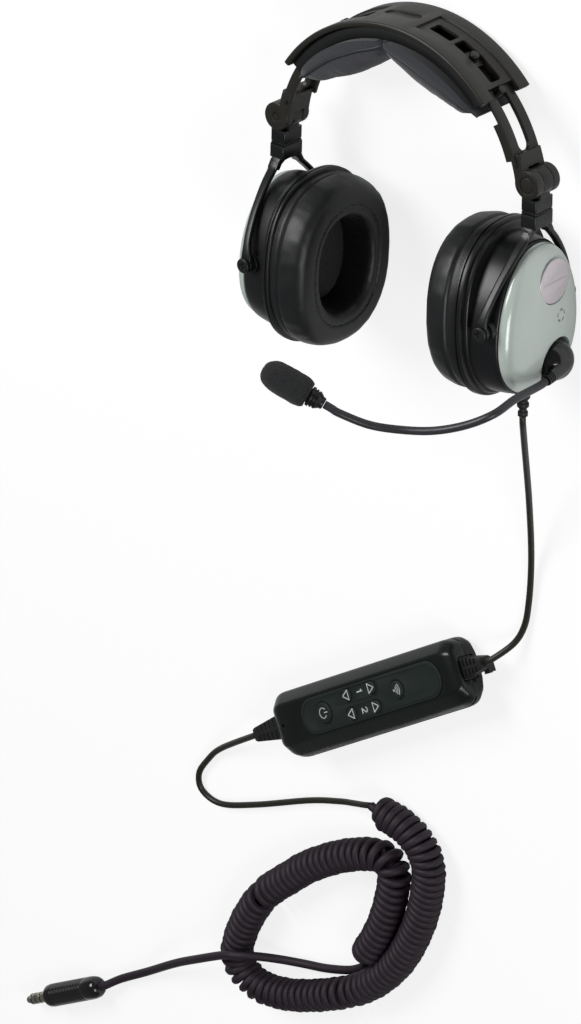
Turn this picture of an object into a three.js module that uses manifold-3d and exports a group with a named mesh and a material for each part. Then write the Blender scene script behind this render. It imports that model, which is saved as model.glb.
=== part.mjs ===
// Aviation headset lying on its back on a table, with its in-line control module,
// curly cord and four-contact plug. Millimetres, +Z up, table at Z = 0, origin under
// the middle of headset and module. The wearer's left side is +X.
import * as THREE from 'three';
import { mergeVertices } from 'three/addons/utils/BufferGeometryUtils.js';
import Module from 'manifold-3d';

const wasm = await Module();
wasm.setup();

// ---------------------------------------------------------------- driving dimensions
const GAP = 0.3; // air between pieces that touch in the real product

// headband: everything is concentric with one arc
const ARC_R = 88; // outside of the cover
const COVER_T = 3.4;
const COVER_HALF_ANGLE = 51.6;
const COVER_W = 40;
const CHANNEL_H = 2.6; // room for the slider leaf
const FRAME_T = 4;
const FRAME_W = 34;
const RAIL_T = 4; // side rails of the frame, beside the leaf
const TRACK_DEPTH = 1.2; // sunk track over each leaf, open at the cover's end
const TRACK_FROM = 11; // degrees from the crown
const WINDOW_FROM = 14; // short window above the slot
const WINDOW_TO = 23.8;
const SLOT_W = 9; // slots in the cover over the leaves
const SLOT_MIDDLE = 35.5; // degrees from the crown
const RECESS_HALF_ANGLE = 9;
const PAD_T = 9; // head pad at the crown
const PAD_LOBE_T = 19; // and at the middle of each lobe
const PAD_W = 44;

// sliders, fold hinges, yokes
const LEAF_W = 22;
const LEAF_TOP = 27; // upper end of the leaf, degrees from the crown
const LEAF_END = 72.5; // lower end, where the knuckles start
const RIB_DEPTH = 3.6; // flanges under the leaf's edges
const RIB_T = 2.2;
const SLIDE_TRAVEL = 8; // degrees each way, set by the slots' ends
const STUD_AT = 30.5; // on the leaf, degrees
const STUD_R = 2.6;
const NOTCH = 4.2; // degrees, in the cover's end, over the leaf
const PEG_AT = COVER_HALF_ANGLE - 2.4; // fixed peg through the leaf's window, on the frame
const LEFT_OUT = 3; // how far each slider is drawn out here, degrees
const RIGHT_OUT = -2;
const HINGE_ANGLE = 80.7;
const HINGE_R = 88;
const KNUCKLE_R = 8;
const HINGE_W = 19; // along the hinge axis
const BLOCK_KNUCKLE_W = 8;
const PIN_R = 2;
const PIN_HEAD_R = 4.2;
const BLOCK_W = 15; // front to back
const BLOCK_T = 10; // across
const BLOCK_H = 17; // below the hinge axis
const STEM_R = 3.5;
const YOKE_HEAD_DROP = 20; // yoke head below the hinge axis
const YOKE_HEAD_H = 6; // down to the arch between the arms
const YOKE_HEAD_W = 16;
const ARM_T = 3;
const ARM_W = 5.5;
const LEFT_FOLD = 1; // how far each cup is folded in here, degrees
const RIGHT_FOLD = -3.5;
const CUP_DROP = 77; // cup pivots below the hinge axis
const PIVOT_IN = 7; // and inside it
const PIVOT_R = 2.4;
const SCREW_HEAD_R = 4.2;
const BOSS_REACH = 2; // yoke arms stand off the shell by this

// ear cups, measured along the cup's own axis from the head outward
const EAR_GAP = 79; // between the two cushion faces
const CUSHION_T = 22;
const CUSHION_H = 94;
const CUSHION_W = 77;
const EAR_H = 52;
const EAR_W = 37;
const FLANGE_T = 5;
const FLANGE_H = 103;
const FLANGE_W = 84;
const RIM_T = 2.5; // step between flange and shell
const RIM_OUT = 3; // beyond the shell
const SHELL_T = 19.5;
const SHELL_H = 90;
const SHELL_W = 69;
const SHELL_END = 0.96; // outline of the shell's outer rim against its inner one
const WALL = 3;
const BAFFLE_T = 2.5;
const SCREEN_T = 3;
const SPEAKER_R = 19;
const SPEAKER_DEPTH = 10;
const COVER_H = 84;
const COVER_BASE_W = 65;
const DOME_H = 10;
const LIP_T = 2;
const BADGE_H = 25;
const BADGE_W = 26;
const BADGE_UP = 20;
const BADGE_FRONT = -5;
const BADGE_T = 1.4;
const PORT_R = 3.8; // ring-shaped slit in the cover, round a small bump
const PORT_BUMP_R = 2.5;
const PORT_UP = -1;
const PORT_FRONT = -10.4;
const PORT_DEPTH = 1.4;
const CUP_YAW = 2.1; // both cups look slightly inward to the front

// boom microphone, on the left cup
const COVER_DROP = -1; // the cover's middle against the pivots
const BOOM_FRONT = -9;
const BOOM_R = 13.5;
const BOOM_UP = BOOM_R + 2 + COVER_DROP - COVER_H / 2; // boom pivot, low on the cover
const BOOM_H = 9; // knob, above its base
const ELBOW_R = 3.6;
const NECK_D = 4.6;
const FOAM_R = 8.2;
const FOAM_L = 27;

// control module
const MODULE_L = 168;
const MODULE_W = 38;
const MODULE_H = 24;
const MODULE_CHAMFER = 7;
const MODULE_SPLIT = 12; // height of the case joint
const KEYPAD_L = 128;
const KEYPAD_W = 22;
const KEYPAD_T = 1.2;
const KEYPAD_RISE = 0.4;
const KEY_TRAVEL = 0.8;
const CELL_R = 7.2;
const CELL_L = 50;
const BAY_END = 11; // battery bay, from the end of the case

// cord and plug
const LEAD_D = 3.8; // cup to module, and module to curls
const CURL_D = 5.1; // the curls and their tail to the plug
const CURL_OD = 17;
const CURLS = 58;
const HANDLE_D = 12.7;
const HANDLE_L = 51;
const PIN_D = 7.1;
const PIN_L = 23;

// placing on the table
const HEADSET_X = 44.2;
const HEADSET_Y = 167;
const HEADSET_Z = 32.8;
const TABLE_TILT = 8.3; // lies on the flanges' rear edges and the band's rear edge
const MODULE_X = -59.6;
const MODULE_Y = -205;
const MODULE_TURN = 27.5;
const MODULE_ROLL = 16; // rests on a facet beside its belly

// ---------------------------------------------------------------- helpers
const rad = THREE.MathUtils.degToRad;
const V2 = (x, y) => new THREE.Vector2(x, y);
const V3 = (x, y, z) => new THREE.Vector3(x, y, z);

const paint = (color, roughness, metalness = 0) => () =>
  new THREE.MeshStandardMaterial({ color, roughness, metalness });
const coverBrown = paint('#2c2b27', 0.45);
const blackPlastic = paint('#18191a', 0.35);
const glossBlack = paint('#0e0e10', 0.15);
const leatherette = paint('#1b1c1e', 0.55);
const padFabric = paint('#3a3b41', 0.9);
const pearl = paint('#b9c8bf', 0.25);
const silver = paint('#d9d0d4', 0.3, 0.6);
const steel = paint('#8d8d8f', 0.3, 1);
const nickel = paint('#cfc9bd', 0.25, 1);
const foamGrey = paint('#2c2d2f', 1);
const rubber = paint('#1d1e15', 0.6);
const curlRubber = paint('#2a232b', 0.6);
const moduleBlack = paint('#141a18', 0.35);
const keypadGrey = paint('#1d2624', 0.55);
const boardGreen = paint('#1f5a3a', 0.6);
const batteryPaint = paint('#8a7a3c', 0.35, 0.4);

function toSolid(geometry) {
  const bare = geometry.clone();
  bare.deleteAttribute('normal');
  bare.deleteAttribute('uv');
  const g = mergeVertices(bare, 1e-4);
  const vertProperties = new Float32Array(g.attributes.position.array);
  const triVerts = new Uint32Array(g.index.array);
  return new wasm.Manifold(new wasm.Mesh({ numProp: 3, vertProperties, triVerts }));
}

function toGeometry(solid) {
  const mesh = solid.getMesh();
  const g = new THREE.BufferGeometry();
  g.setAttribute('position', new THREE.BufferAttribute(new Float32Array(mesh.vertProperties), 3));
  g.setIndex(new THREE.BufferAttribute(new Uint32Array(mesh.triVerts), 1));
  g.computeVertexNormals();
  return g;
}

function cut(body, ...tools) {
  return toGeometry(tools.reduce((a, b) => a.subtract(toSolid(b)), toSolid(body)));
}

function join(body, ...others) {
  return toGeometry(others.reduce((a, b) => a.add(toSolid(b)), toSolid(body)));
}

function piece(parent, name, geometry, material) {
  const mesh = new THREE.Mesh(geometry, material());
  mesh.name = name;
  parent.add(mesh);
  return mesh;
}

function group(parent, x = 0, y = 0, z = 0) {
  const g = new THREE.Group();
  g.position.set(x, y, z);
  parent.add(g);
  return g;
}

// A closed skin over rings of equal point counts. With `hoop`, the last ring joins the first.
function loft(rings, hoop = false) {
  const n = rings[0].length;
  const positions = rings.flat().flatMap((p) => [p.x, p.y, p.z]);
  const index = [];
  const last = hoop ? rings.length : rings.length - 1;
  for (let i = 0; i < last; i++) {
    const a = i * n;
    const b = ((i + 1) % rings.length) * n;
    for (let j = 0; j < n; j++) {
      const k = (j + 1) % n;
      index.push(a + j, a + k, b + k, a + j, b + k, b + j);
    }
  }
  if (!hoop) {
    for (const [ring, flip] of [[0, true], [rings.length - 1, false]]) {
      const flat = flatten(rings[ring]);
      for (const [p, q, r] of THREE.ShapeUtils.triangulateShape(flat, [])) {
        const t = [p, q, r].map((v) => v + ring * n);
        index.push(...(flip ? [t[0], t[2], t[1]] : t));
      }
    }
  }
  const g = new THREE.BufferGeometry();
  g.setAttribute('position', new THREE.Float32BufferAttribute(positions, 3));
  g.setIndex(index);
  return outward(g);
}

// The ring's points in its own plane, turned so that the ring runs counter-clockwise.
function flatten(ring) {
  const normal = V3(0, 0, 0);
  ring.forEach((p, i) => normal.add(p.clone().cross(ring[(i + 1) % ring.length])));
  normal.normalize();
  const u = ring[1].clone().sub(ring[0]).normalize();
  const v = normal.clone().cross(u);
  return ring.map((p) => V2(p.dot(u), p.dot(v)));
}

function outward(g) {
  const p = g.attributes.position;
  const index = g.index.array;
  const at = (i) => V3().fromBufferAttribute(p, index[i]);
  let volume = 0;
  for (let i = 0; i < index.length; i += 3) volume += at(i).dot(at(i + 1).cross(at(i + 2)));
  if (volume < 0) for (let i = 0; i < index.length; i += 3) [index[i], index[i + 1]] = [index[i + 1], index[i]];
  g.computeVertexNormals();
  return g;
}

// A disc, cone or turned piece about Z, from [radius, height] pairs.
function turned(profile, segments = 24) {
  const g = new THREE.LatheGeometry(profile.map(([r, h]) => V2(r, h)), segments);
  return g.rotateX(Math.PI / 2);
}

const rod = (r, z0, z1, segments = 20) => turned([[0, z0], [r, z0], [r, z1], [0, z1]], segments);

function plate(outline, z0, z1, bevel = 0, holes = []) {
  const shape = new THREE.Shape(outline);
  shape.holes = holes.map((h) => new THREE.Path(h));
  const g = new THREE.ExtrudeGeometry(shape, {
    depth: z1 - z0 - 2 * bevel,
    bevelEnabled: bevel > 0,
    bevelThickness: bevel,
    bevelSize: bevel,
    bevelOffset: -bevel,
    bevelSegments: 1,
  });
  return g.translate(0, 0, z0 + bevel);
}

// Counter-clockwise superellipse: power 2 is an ellipse, higher is squarer.
// `egg` widens the lower half and narrows the upper half.
function oval(height, width, power = 2, n = 32, egg = 0) {
  return Array.from({ length: n }, (_, i) => {
    const t = (i / n) * 2 * Math.PI;
    const c = Math.cos(t);
    const s = Math.sin(t);
    const y = (height / 2) * Math.sign(s) * Math.abs(s) ** (2 / power);
    const x = (width / 2) * Math.sign(c) * Math.abs(c) ** (2 / power);
    return V2(x * (1 - egg * (y / height)), y);
  });
}

// A stadium with round ends, lying along X.
function stadium(length, width, n = 8) {
  const r = width / 2;
  const points = [];
  for (const [cx, from] of [[length / 2 - r, -90], [r - length / 2, 90]]) {
    for (let i = 0; i <= n; i++) {
      const a = rad(from + (180 * i) / n);
      points.push(V2(cx + r * Math.cos(a), r * Math.sin(a)));
    }
  }
  return points;
}

// Sector of a ring about Z; angles in degrees from the crown, + toward the wearer's left.
function sector(r0, r1, from, to, width, steps, bevel = 0) {
  const points = [];
  const at = (r, a) => V2(r * Math.sin(rad(a)), r * Math.cos(rad(a)));
  for (let i = 0; i <= steps; i++) points.push(at(r1, from + ((to - from) * i) / steps));
  for (let i = steps; i >= 0; i--) points.push(at(r0, from + ((to - from) * i) / steps));
  return plate(points, -width / 2, width / 2, bevel);
}

// Tube of n sides along a smooth curve through the points, ends square to it.
function tube(points, d, steps, sides = 8) {
  const curve = new THREE.CatmullRomCurve3(points, false, 'centripetal');
  const section = new THREE.Shape(
    Array.from({ length: sides }, (_, i) => {
      const a = (2 * Math.PI * (i + 0.5)) / sides;
      return V2((d / 2) * Math.cos(a), (d / 2) * Math.sin(a));
    }),
  );
  return new THREE.ExtrudeGeometry(section, { steps, bevelEnabled: false, extrudePath: curve });
}

// Turn a geometry made along +Z so that it lies along +X.
const alongX = (g) => g.rotateY(Math.PI / 2);

// ---------------------------------------------------------------- headband
const leafR1 = ARC_R - COVER_T - GAP;
const leafR0 = leafR1 - CHANNEL_H + GAP;
const frameR1 = leafR0 - GAP;
const frameR0 = frameR1 - FRAME_T;

function headbandCover() {
  const shell = sector(ARC_R - COVER_T, ARC_R, -COVER_HALF_ANGLE, COVER_HALF_ANGLE, COVER_W, 20, 1);
  const through = [ARC_R - 3 * COVER_T, ARC_R + COVER_T];
  const reach = SLIDE_TRAVEL + THREE.MathUtils.radToDeg((STUD_R + GAP) / (ARC_R - COVER_T));
  const cuts = [sector(ARC_R - TRACK_DEPTH, ARC_R + COVER_T, -RECESS_HALF_ANGLE, RECESS_HALF_ANGLE, SLOT_W, 5)];
  for (const s of [-1, 1]) {
    const cutFrom = (r0, r1, from, to, width, steps) => cuts.push(sector(r0, r1, s * from, s * to, width, steps));
    cutFrom(ARC_R - TRACK_DEPTH, ARC_R + COVER_T, TRACK_FROM, COVER_HALF_ANGLE + 2, LEAF_W, 10);
    cutFrom(...through, WINDOW_FROM, WINDOW_TO, SLOT_W, 3);
    cutFrom(...through, SLOT_MIDDLE - reach, SLOT_MIDDLE + reach, SLOT_W, 6);
    cutFrom(...through, COVER_HALF_ANGLE - NOTCH, COVER_HALF_ANGLE + 2, LEAF_W, 1);
  }
  return cut(shell, ...cuts);
}

function headbandFrame() {
  const reach = COVER_HALF_ANGLE - 1;
  const sole = sector(frameR0, frameR1, -reach, reach, FRAME_W, 18);
  const railR1 = ARC_R - COVER_T - GAP;
  const rails = [-1, 1].map((s) =>
    sector(frameR0, railR1, -reach, reach, RAIL_T, 18).translate(0, 0, s * (FRAME_W - RAIL_T) / 2),
  );
  const pegs = [-1, 1].map((s) =>
    rod(STUD_R - 0.4, 0, frameR1 + CHANNEL_H + COVER_T - frameR0, 8).rotateX(-Math.PI / 2).translate(0, frameR0 + 1, 0).rotateZ(s * rad(PEG_AT)),
  );
  return join(sole, ...rails, ...pegs);
}

// The pad's two lobes hang from the frame; its sides draw in and its face crowns.
function headPad() {
  const top = frameR0 - GAP;
  const reach = COVER_HALF_ANGLE + 2;
  const profile = [[-1, 0], [-1.04, 0.3], [-0.97, 0.62], [-0.72, 0.9], [-0.3, 1], [0.3, 1], [0.72, 0.9], [0.97, 0.62], [1.04, 0.3], [1, 0]];
  const steps = 20;
  const rings = [];
  for (let i = 0; i <= steps; i++) {
    const a = -reach + (2 * reach * i) / steps;
    const t = Math.abs(a) / reach;
    const lobe = Math.sin(Math.PI * Math.min(1, t * 1.06)) ** 0.8;
    const thick = (PAD_T + (PAD_LOBE_T - PAD_T) * lobe) * Math.min(1, (1 - t) * 7 + 0.35);
    const waist = 0.8 + 0.2 * Math.sqrt(lobe);
    rings.push(profile.map(([w, h]) => {
      const r = top - h * thick;
      return V3(r * Math.sin(rad(a)), r * Math.cos(rad(a)), (w * PAD_W * waist) / 2);
    }));
  }
  return loft(rings);
}

function headband(parent) {
  piece(parent, 'headband_cover', headbandCover(), coverBrown);
  piece(parent, 'headband_frame', headbandFrame(), blackPlastic);
  piece(parent, 'head_pad', headPad(), padFabric);
}

// ---------------------------------------------------------------- slider, hinge, yoke
const hingeX = HINGE_R * Math.sin(rad(HINGE_ANGLE));
const hingeY = HINGE_R * Math.cos(rad(HINGE_ANGLE));

function sliderLeaf() {
  const leaf = sector(leafR0, leafR1, LEAF_TOP, LEAF_END, LEAF_W, 9);
  const ribFrom = COVER_HALF_ANGLE - RIGHT_OUT + SLIDE_TRAVEL - (SLOT_MIDDLE - STUD_AT);
  const ribs = [-1, 1].map((s) =>
    sector(leafR0 - RIB_DEPTH, leafR0 + 1, ribFrom, LEAF_END - 1, RIB_T, 4).translate(0, 0, s * (LEAF_W - RIB_T) / 2),
  );
  const neck = sector(leafR0 - 2, leafR1 + 4, LEAF_END - 3, HINGE_ANGLE, HINGE_W, 2, 0.8);
  const z = HINGE_W / 2;
  const place = (g) => g.translate(hingeX, hingeY, 0);
  const slot = place(rod(KNUCKLE_R + 1, -BLOCK_KNUCKLE_W / 2 - GAP, BLOCK_KNUCKLE_W / 2 + GAP, 14));
  const bore = place(rod(PIN_R + GAP, -HINGE_W, HINGE_W, 8));
  const heads = place(rod(PIN_HEAD_R + GAP, z - 1 - GAP, z + 1, 12));
  const windowEnd = LEAF_END - 6;
  const window = sector(leafR0 - 4, leafR1 + 4, pegReach(-1), windowEnd, SLOT_W, 6);
  const round = rod(SLOT_W / 2, leafR0 - 4, leafR1 + 4, 12).rotateX(-Math.PI / 2).rotateZ(-rad(windowEnd));
  return cut(join(leaf, ...ribs, neck, place(rod(KNUCKLE_R, -z, z, 14))), slot, bore, heads, window, round);
}

// Where the fixed peg comes in the leaf's window at one end of the slider's travel.
function pegReach(end) {
  const middle = PEG_AT - (SLOT_MIDDLE - STUD_AT);
  return middle + end * (SLIDE_TRAVEL + THREE.MathUtils.radToDeg((STUD_R + GAP) / leafR0));
}

function stud() {
  const middle = rad(STUD_AT);
  const g = turned([[0, 0], [STUD_R, 0], [STUD_R, COVER_T - 0.4], [STUD_R - 0.8, COVER_T + 0.3], [0, COVER_T + 0.6]], 10);
  g.rotateX(-Math.PI / 2).translate(0, leafR1 + GAP, 0).rotateZ(-middle);
  return g;
}

function swivelBlock() {
  const eye = rod(KNUCKLE_R, -BLOCK_KNUCKLE_W / 2, BLOCK_KNUCKLE_W / 2, 14);
  const w = BLOCK_T / 2;
  const web = plate([V2(-w, -KNUCKLE_R - 3), V2(w, -KNUCKLE_R - 3), V2(w + 1, 0), V2(-w - 1, 0)], -BLOCK_KNUCKLE_W / 2, BLOCK_KNUCKLE_W / 2);
  const half = BLOCK_W / 2;
  const bodyTop = -KNUCKLE_R - 0.6;
  const body = plate([V2(-w, -half), V2(w, -half), V2(w, half), V2(-w, half)], -BLOCK_H, bodyTop, 0.8);
  body.rotateX(-Math.PI / 2);
  const bore = rod(PIN_R + GAP, -HINGE_W, HINGE_W, 10);
  const socket = rod(STEM_R + GAP, -BLOCK_H - 1, bodyTop - 2, 12).rotateX(-Math.PI / 2);
  return cut(join(eye, web, body), bore, socket);
}

function yoke() {
  const w = YOKE_HEAD_W / 2;
  const drop = -YOKE_HEAD_H;
  const right = [V2(w, 0), V2(w, drop + 1), V2(armRoot, drop - 4.5), V2(armRoot - ARM_T, drop - 5.5), V2(w - 2.5, drop - 1.2)];
  const left = right.map((p) => V2(-p.x, p.y)).reverse();
  const head = plate([...right, V2(0, drop), ...left].reverse(), -ARM_W / 2, ARM_W / 2).rotateY(-Math.PI / 2);
  const t = BLOCK_T / 2;
  const cap = plate([V2(-t, -w), V2(t, -w), V2(t, w), V2(-t, w)], 1 - YOKE_HEAD_H, 0, 1).rotateX(-Math.PI / 2);
  const stem = rod(STEM_R, -1, BLOCK_H - KNUCKLE_R - 4, 12).rotateX(-Math.PI / 2);
  const arms = [-1, 1].map((s) => yokeArm(s));
  const bores = [-1, 1].map((s) => rod(PIVOT_R + GAP, -ARM_W, ARM_W, 8).translate(pivotX, -armDrop, s * armZ));
  return cut(join(head, cap, stem, ...arms), ...bores);
}

const armDrop = CUP_DROP - YOKE_HEAD_DROP;
const armZ = SHELL_W / 2 + BOSS_REACH + ARM_T / 2;
const pivotX = -PIVOT_IN;
const armRoot = YOKE_HEAD_W / 2 + 4;

// A strap from the head's corner round the shell to a teardrop eye at the pivot.
function yokeArm(side) {
  const at = (share, down, out) => V3(pivotX * share, -down, side * out);
  const path = new THREE.CatmullRomCurve3([
    at(0, YOKE_HEAD_H + 3.5, armRoot - 1.9), at(0.14, armDrop * 0.32, armZ * 0.48), at(0.42, armDrop * 0.52, armZ * 0.72),
    at(0.75, armDrop * 0.74, armZ * 0.92), at(1, armDrop * 0.9, armZ), at(1, armDrop, armZ),
  ]);
  const section = new THREE.Shape(oval(ARM_T, ARM_W, 3, 6));
  const arm = new THREE.ExtrudeGeometry(section, { steps: 8, bevelEnabled: false, extrudePath: path });
  const eye = rod(ARM_W * 0.8, -ARM_T / 2, ARM_T / 2, 12).translate(pivotX, -armDrop, side * armZ);
  return join(arm, eye);
}

function yokeScrew(side) {
  const z0 = SHELL_W / 2 - 1.5;
  const z1 = armZ + ARM_T / 2 + GAP;
  const g = turned([[0, z0], [PIVOT_R, z0], [PIVOT_R, z1], [SCREW_HEAD_R, z1], [SCREW_HEAD_R - 0.6, z1 + 1], [0, z1 + 1]], 10);
  if (side < 0) g.rotateY(Math.PI);
  return g;
}

// ---------------------------------------------------------------- ear cup
// Along the cup's own X: 0 at the cushion's face, growing outward.
const flangeX = CUSHION_T + GAP;
const shellX = flangeX + FLANGE_T;
const shellEndX = shellX + SHELL_T;
const pivotInCup = HINGE_R * Math.sin(rad(HINGE_ANGLE)) - PIVOT_IN - EAR_GAP / 2;
const SQUARENESS = 2.3; // of the cup's outline

const ringX = (points, x, up = 0) => points.map((p) => V3(x, p.y + up, p.x));
const cupRing = (x, h, w, n = 24) => ringX(oval(h, w, SQUARENESS, n), x);

function earCushion() {
  const n = 24;
  const inner = oval(EAR_H, EAR_W, SQUARENESS, n);
  const outer = oval(CUSHION_H, CUSHION_W, SQUARENESS, n);
  // across the cushion: 0 at the ear opening, 1 outside; height 0 at the flange, 1 at the face
  const profile = [
    [0.08, 0], [0.02, 0.4], [0.13, 0.86], [0.32, 1], [0.56, 1], [0.82, 0.88], [0.99, 0.6],
    [1, 0.34], [0.955, 0.26], [0.985, 0.16], [0.97, 0],
  ];
  const rings = profile.map(([s, h]) => inner.map((p, i) => {
    const q = outer[i];
    return V3(CUSHION_T * (1 - h), p.y + (q.y - p.y) * s, p.x + (q.x - p.x) * s);
  }));
  return loft(rings, true);
}

// The shell's size at a distance x along the cup, as a share of SHELL_H and SHELL_W.
function shellShare(x) {
  const t = Math.max(0, (x - shellX) / SHELL_T);
  return 1 - (1 - SHELL_END) * t ** 2.2;
}

// Its outline is egg-shaped like the cover's: narrow at the top, widest low down.
function shellRing(x, less = 0, n = 24) {
  const share = shellShare(x);
  return ringX(oval(SHELL_H * share - less, SHELL_W * share - less, 2.15, n, EGG), x, COVER_DROP);
}

function cupShell(side) {
  const stations = [RIM_T / SHELL_T, 0.6, 1].map((t) => shellX + t * SHELL_T);
  const rim = (x) => cupRing(x, SHELL_H + 2 * RIM_OUT, SHELL_W + 2 * RIM_OUT);
  const outer = loft([
    cupRing(flangeX, FLANGE_H, FLANGE_W),
    cupRing(shellX - 1, FLANGE_H - 1, FLANGE_W - 1),
    rim(shellX), rim(shellX + RIM_T - 0.5),
    ...stations.map((x) => shellRing(x)),
  ]);
  const room = (x) => shellRing(x, 2 * WALL, 16);
  const inner = loft([room(flangeX - 1), room(stations[1]), room(shellEndX - WALL)]);
  const seatX = flangeX + BAFFLE_T + GAP;
  const seat = loft([cupRing(flangeX - 1, SHELL_H, SHELL_W), cupRing(seatX, SHELL_H, SHELL_W)]);
  const halfW = (SHELL_W / 2) * shellShare(pivotInCup);
  const bosses = [-1, 1].map((s) => rod(BOSS_R, halfW - WALL - 1, bossEnd, 12).rotateY(s > 0 ? 0 : Math.PI).translate(pivotInCup, 0, 0));
  const bores = [-1, 1].map((s) => rod(PIVOT_R + GAP, halfW - WALL + 0.6, bossEnd + 2, 8).rotateY(s > 0 ? 0 : Math.PI).translate(pivotInCup, 0, 0));
  const cuts = [inner, seat, ...bores];
  if (side > 0) cuts.push(boomSeat(), reliefHole());
  return cut(join(outer, ...bosses), ...cuts);
}

const BOSS_R = 6;
const bossEnd = armZ - ARM_T / 2 - GAP;

function bafflePlate() {
  const holes = [0, 1, 2, 3, 4, 5].map((k) => {
    const a = (k * Math.PI) / 3;
    return oval(9, 9, 2, 6).map((p) => V2(p.x + 11 * Math.cos(a), p.y + 11 * Math.sin(a)));
  });
  const disc = oval(SHELL_H - 2 * GAP, SHELL_W - 2 * GAP, SQUARENESS, 24);
  return alongX(plate(disc, flangeX + GAP, flangeX + BAFFLE_T, 0, holes));
}

function speaker() {
  const z = flangeX + BAFFLE_T + GAP;
  const profile = [
    [0, z + 2], [SPEAKER_R * 0.45, z + 3], [SPEAKER_R * 0.8, z], [SPEAKER_R, z], [SPEAKER_R, z + 3],
    [SPEAKER_R * 0.7, z + 5], [SPEAKER_R * 0.6, z + SPEAKER_DEPTH], [0, z + SPEAKER_DEPTH],
  ];
  return alongX(turned(profile, 10));
}

function acousticScreen() {
  const z1 = flangeX - GAP;
  return alongX(plate(oval(EAR_H - 1, EAR_W - 1, SQUARENESS, 20), z1 - SCREEN_T, z1, 0.8));
}

// ---- outer cover, egg-shaped: narrow at the top, widest low down
const EGG = 0.26;
const coverX = shellEndX + GAP;
const domeAt = [[1, 0], [1, LIP_T], [0.93, 0.55], [0.76, 0.86], [0.42, 1.02]];

function pearlCover(side) {
  const body = loft(domeAt.map(([share, h], i) => {
    const x = coverX + (i < 2 ? h : LIP_T + (DOME_H - LIP_T) * h);
    return ringX(oval(COVER_H * share, COVER_BASE_W * share, 2.15, 24, EGG), x, COVER_DROP);
  }));
  const badge = badgeRod(side, BADGE_H / 2 + GAP, badgeX - BADGE_T, badgeX + DOME_H);
  const [p0, p1] = [coverX + DOME_H - PORT_DEPTH, coverX + 2 * DOME_H];
  const slit = turned([[PORT_BUMP_R, p0], [PORT_R, p0], [PORT_R, p1], [PORT_BUMP_R, p1], [PORT_BUMP_R, p0]], 10);
  const port = alongX(slit).translate(0, PORT_UP, PORT_FRONT * side);
  return cut(body, badge, port, ...(side > 0 ? [boomSeat()] : []));
}

const badgeX = coverX + DOME_H * 0.86;

// A rod along the cup's X at a height and a front offset, optionally narrower front to back.
function rodX(r, x0, x1, up, front, narrow = 1, segments = 20) {
  return alongX(rod(r, x0, x1, segments)).scale(1, 1, narrow).translate(0, up, front);
}

// The oval badge on the cover's upper part, toward the front of either cup.
const badgeRod = (side, r, x0, x1) => rodX(r, x0, x1, BADGE_UP, BADGE_FRONT * side, BADGE_W / BADGE_H, 18);
const badgePlate = (side) => badgeRod(side, BADGE_H / 2, badgeX - BADGE_T + GAP, badgeX + 0.8);

function earCup(parent, side) {
  const prefix = side > 0 ? 'left' : 'right';
  piece(parent, `${prefix}_ear_cushion`, earCushion(), leatherette);
  piece(parent, `${prefix}_cup_shell`, cupShell(side), blackPlastic);
  piece(parent, `${prefix}_baffle_plate`, bafflePlate(), blackPlastic);
  piece(parent, `${prefix}_speaker`, speaker(), steel);
  piece(parent, `${prefix}_acoustic_screen`, acousticScreen(), foamGrey);
  piece(parent, `${prefix}_cup_cover`, pearlCover(side), pearl);
  piece(parent, `${prefix}_badge_plate`, badgePlate(side), silver);
  for (const s of [1, -1]) {
    const end = s === side ? 'front' : 'rear';
    const screw = piece(parent, `${prefix}_yoke_screw_${end}`, yokeScrew(s), steel);
    screw.position.x = pivotInCup;
  }
}

// ---------------------------------------------------------------- boom microphone
const boomX0 = shellEndX - 2; // bottom of the boom's seat
const boomSeat = () => rodX(BOOM_R + GAP, boomX0, coverX + 3 * DOME_H, BOOM_UP, BOOM_FRONT);

// Boom pieces are made round the boom's own axis, with X outward.
function boomBase() {
  const x0 = boomX0 + GAP;
  return alongX(turned([[0, x0], [BOOM_R, x0], [BOOM_R, x0 + 2.5], [BOOM_R - 1, x0 + 3.5], [0, x0 + 3.5]], 20));
}

const knobX = boomX0 + 2 * GAP + 3.5;
const armX = coverX + 1.03 * DOME_H + ELBOW_R + GAP; // swings clear of the cover
const neckStart = V3(armX, -4.4, 18);

function boomElbow() {
  const r = BOOM_R - 2;
  const top = knobX + BOOM_H;
  const dome = alongX(turned([[0, knobX], [r, knobX], [r, knobX + 4], [r * 0.86, top - 2], [r * 0.5, armX + 1.5], [0, armX + 3]], 16));
  const from = V3(armX, -1, 1.6);
  const along = neckStart.clone().sub(from).normalize();
  const turn = new THREE.Quaternion().setFromUnitVectors(V3(0, 0, 1), along);
  const reach = neckStart.distanceTo(from);
  const arm = turned([[0, 0], [ELBOW_R, 0], [ELBOW_R * 0.9, reach * 0.6], [NECK_D * 0.65, reach - GAP], [0, reach - GAP]], 12);
  arm.applyQuaternion(turn).translate(from.x, from.y, from.z);
  return { geometry: join(dome, arm), along };
}

// From the elbow round to the wearer's mouth, relative to the boom's axis and the cushion's face.
const neckRoute = [
  [63, -4.3, 46.8], [60.6, -8.3, 62.7], [47.2, -16, 69.9], [29.7, -22, 75.7], [11.9, -24.2, 81.5], [-3, -21.6, 88.3], [-16.5, -14.6, 96.4],
];
const micStart = V3(-22.3, -11.2, 103);
const foamEnd = V3(-50.8, 5.6, 116.9);

function gooseneck(along) {
  const start = neckStart.clone();
  const points = [start, start.clone().addScaledVector(along, NECK_D), ...neckRoute.map((p) => V3(...p))];
  const into = foamEnd.clone().sub(micStart).normalize();
  const end = micStart.clone().addScaledVector(into, -GAP);
  points.push(end.clone().addScaledVector(into, -NECK_D), end);
  return tube(points, NECK_D, 18, 8);
}

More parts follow.
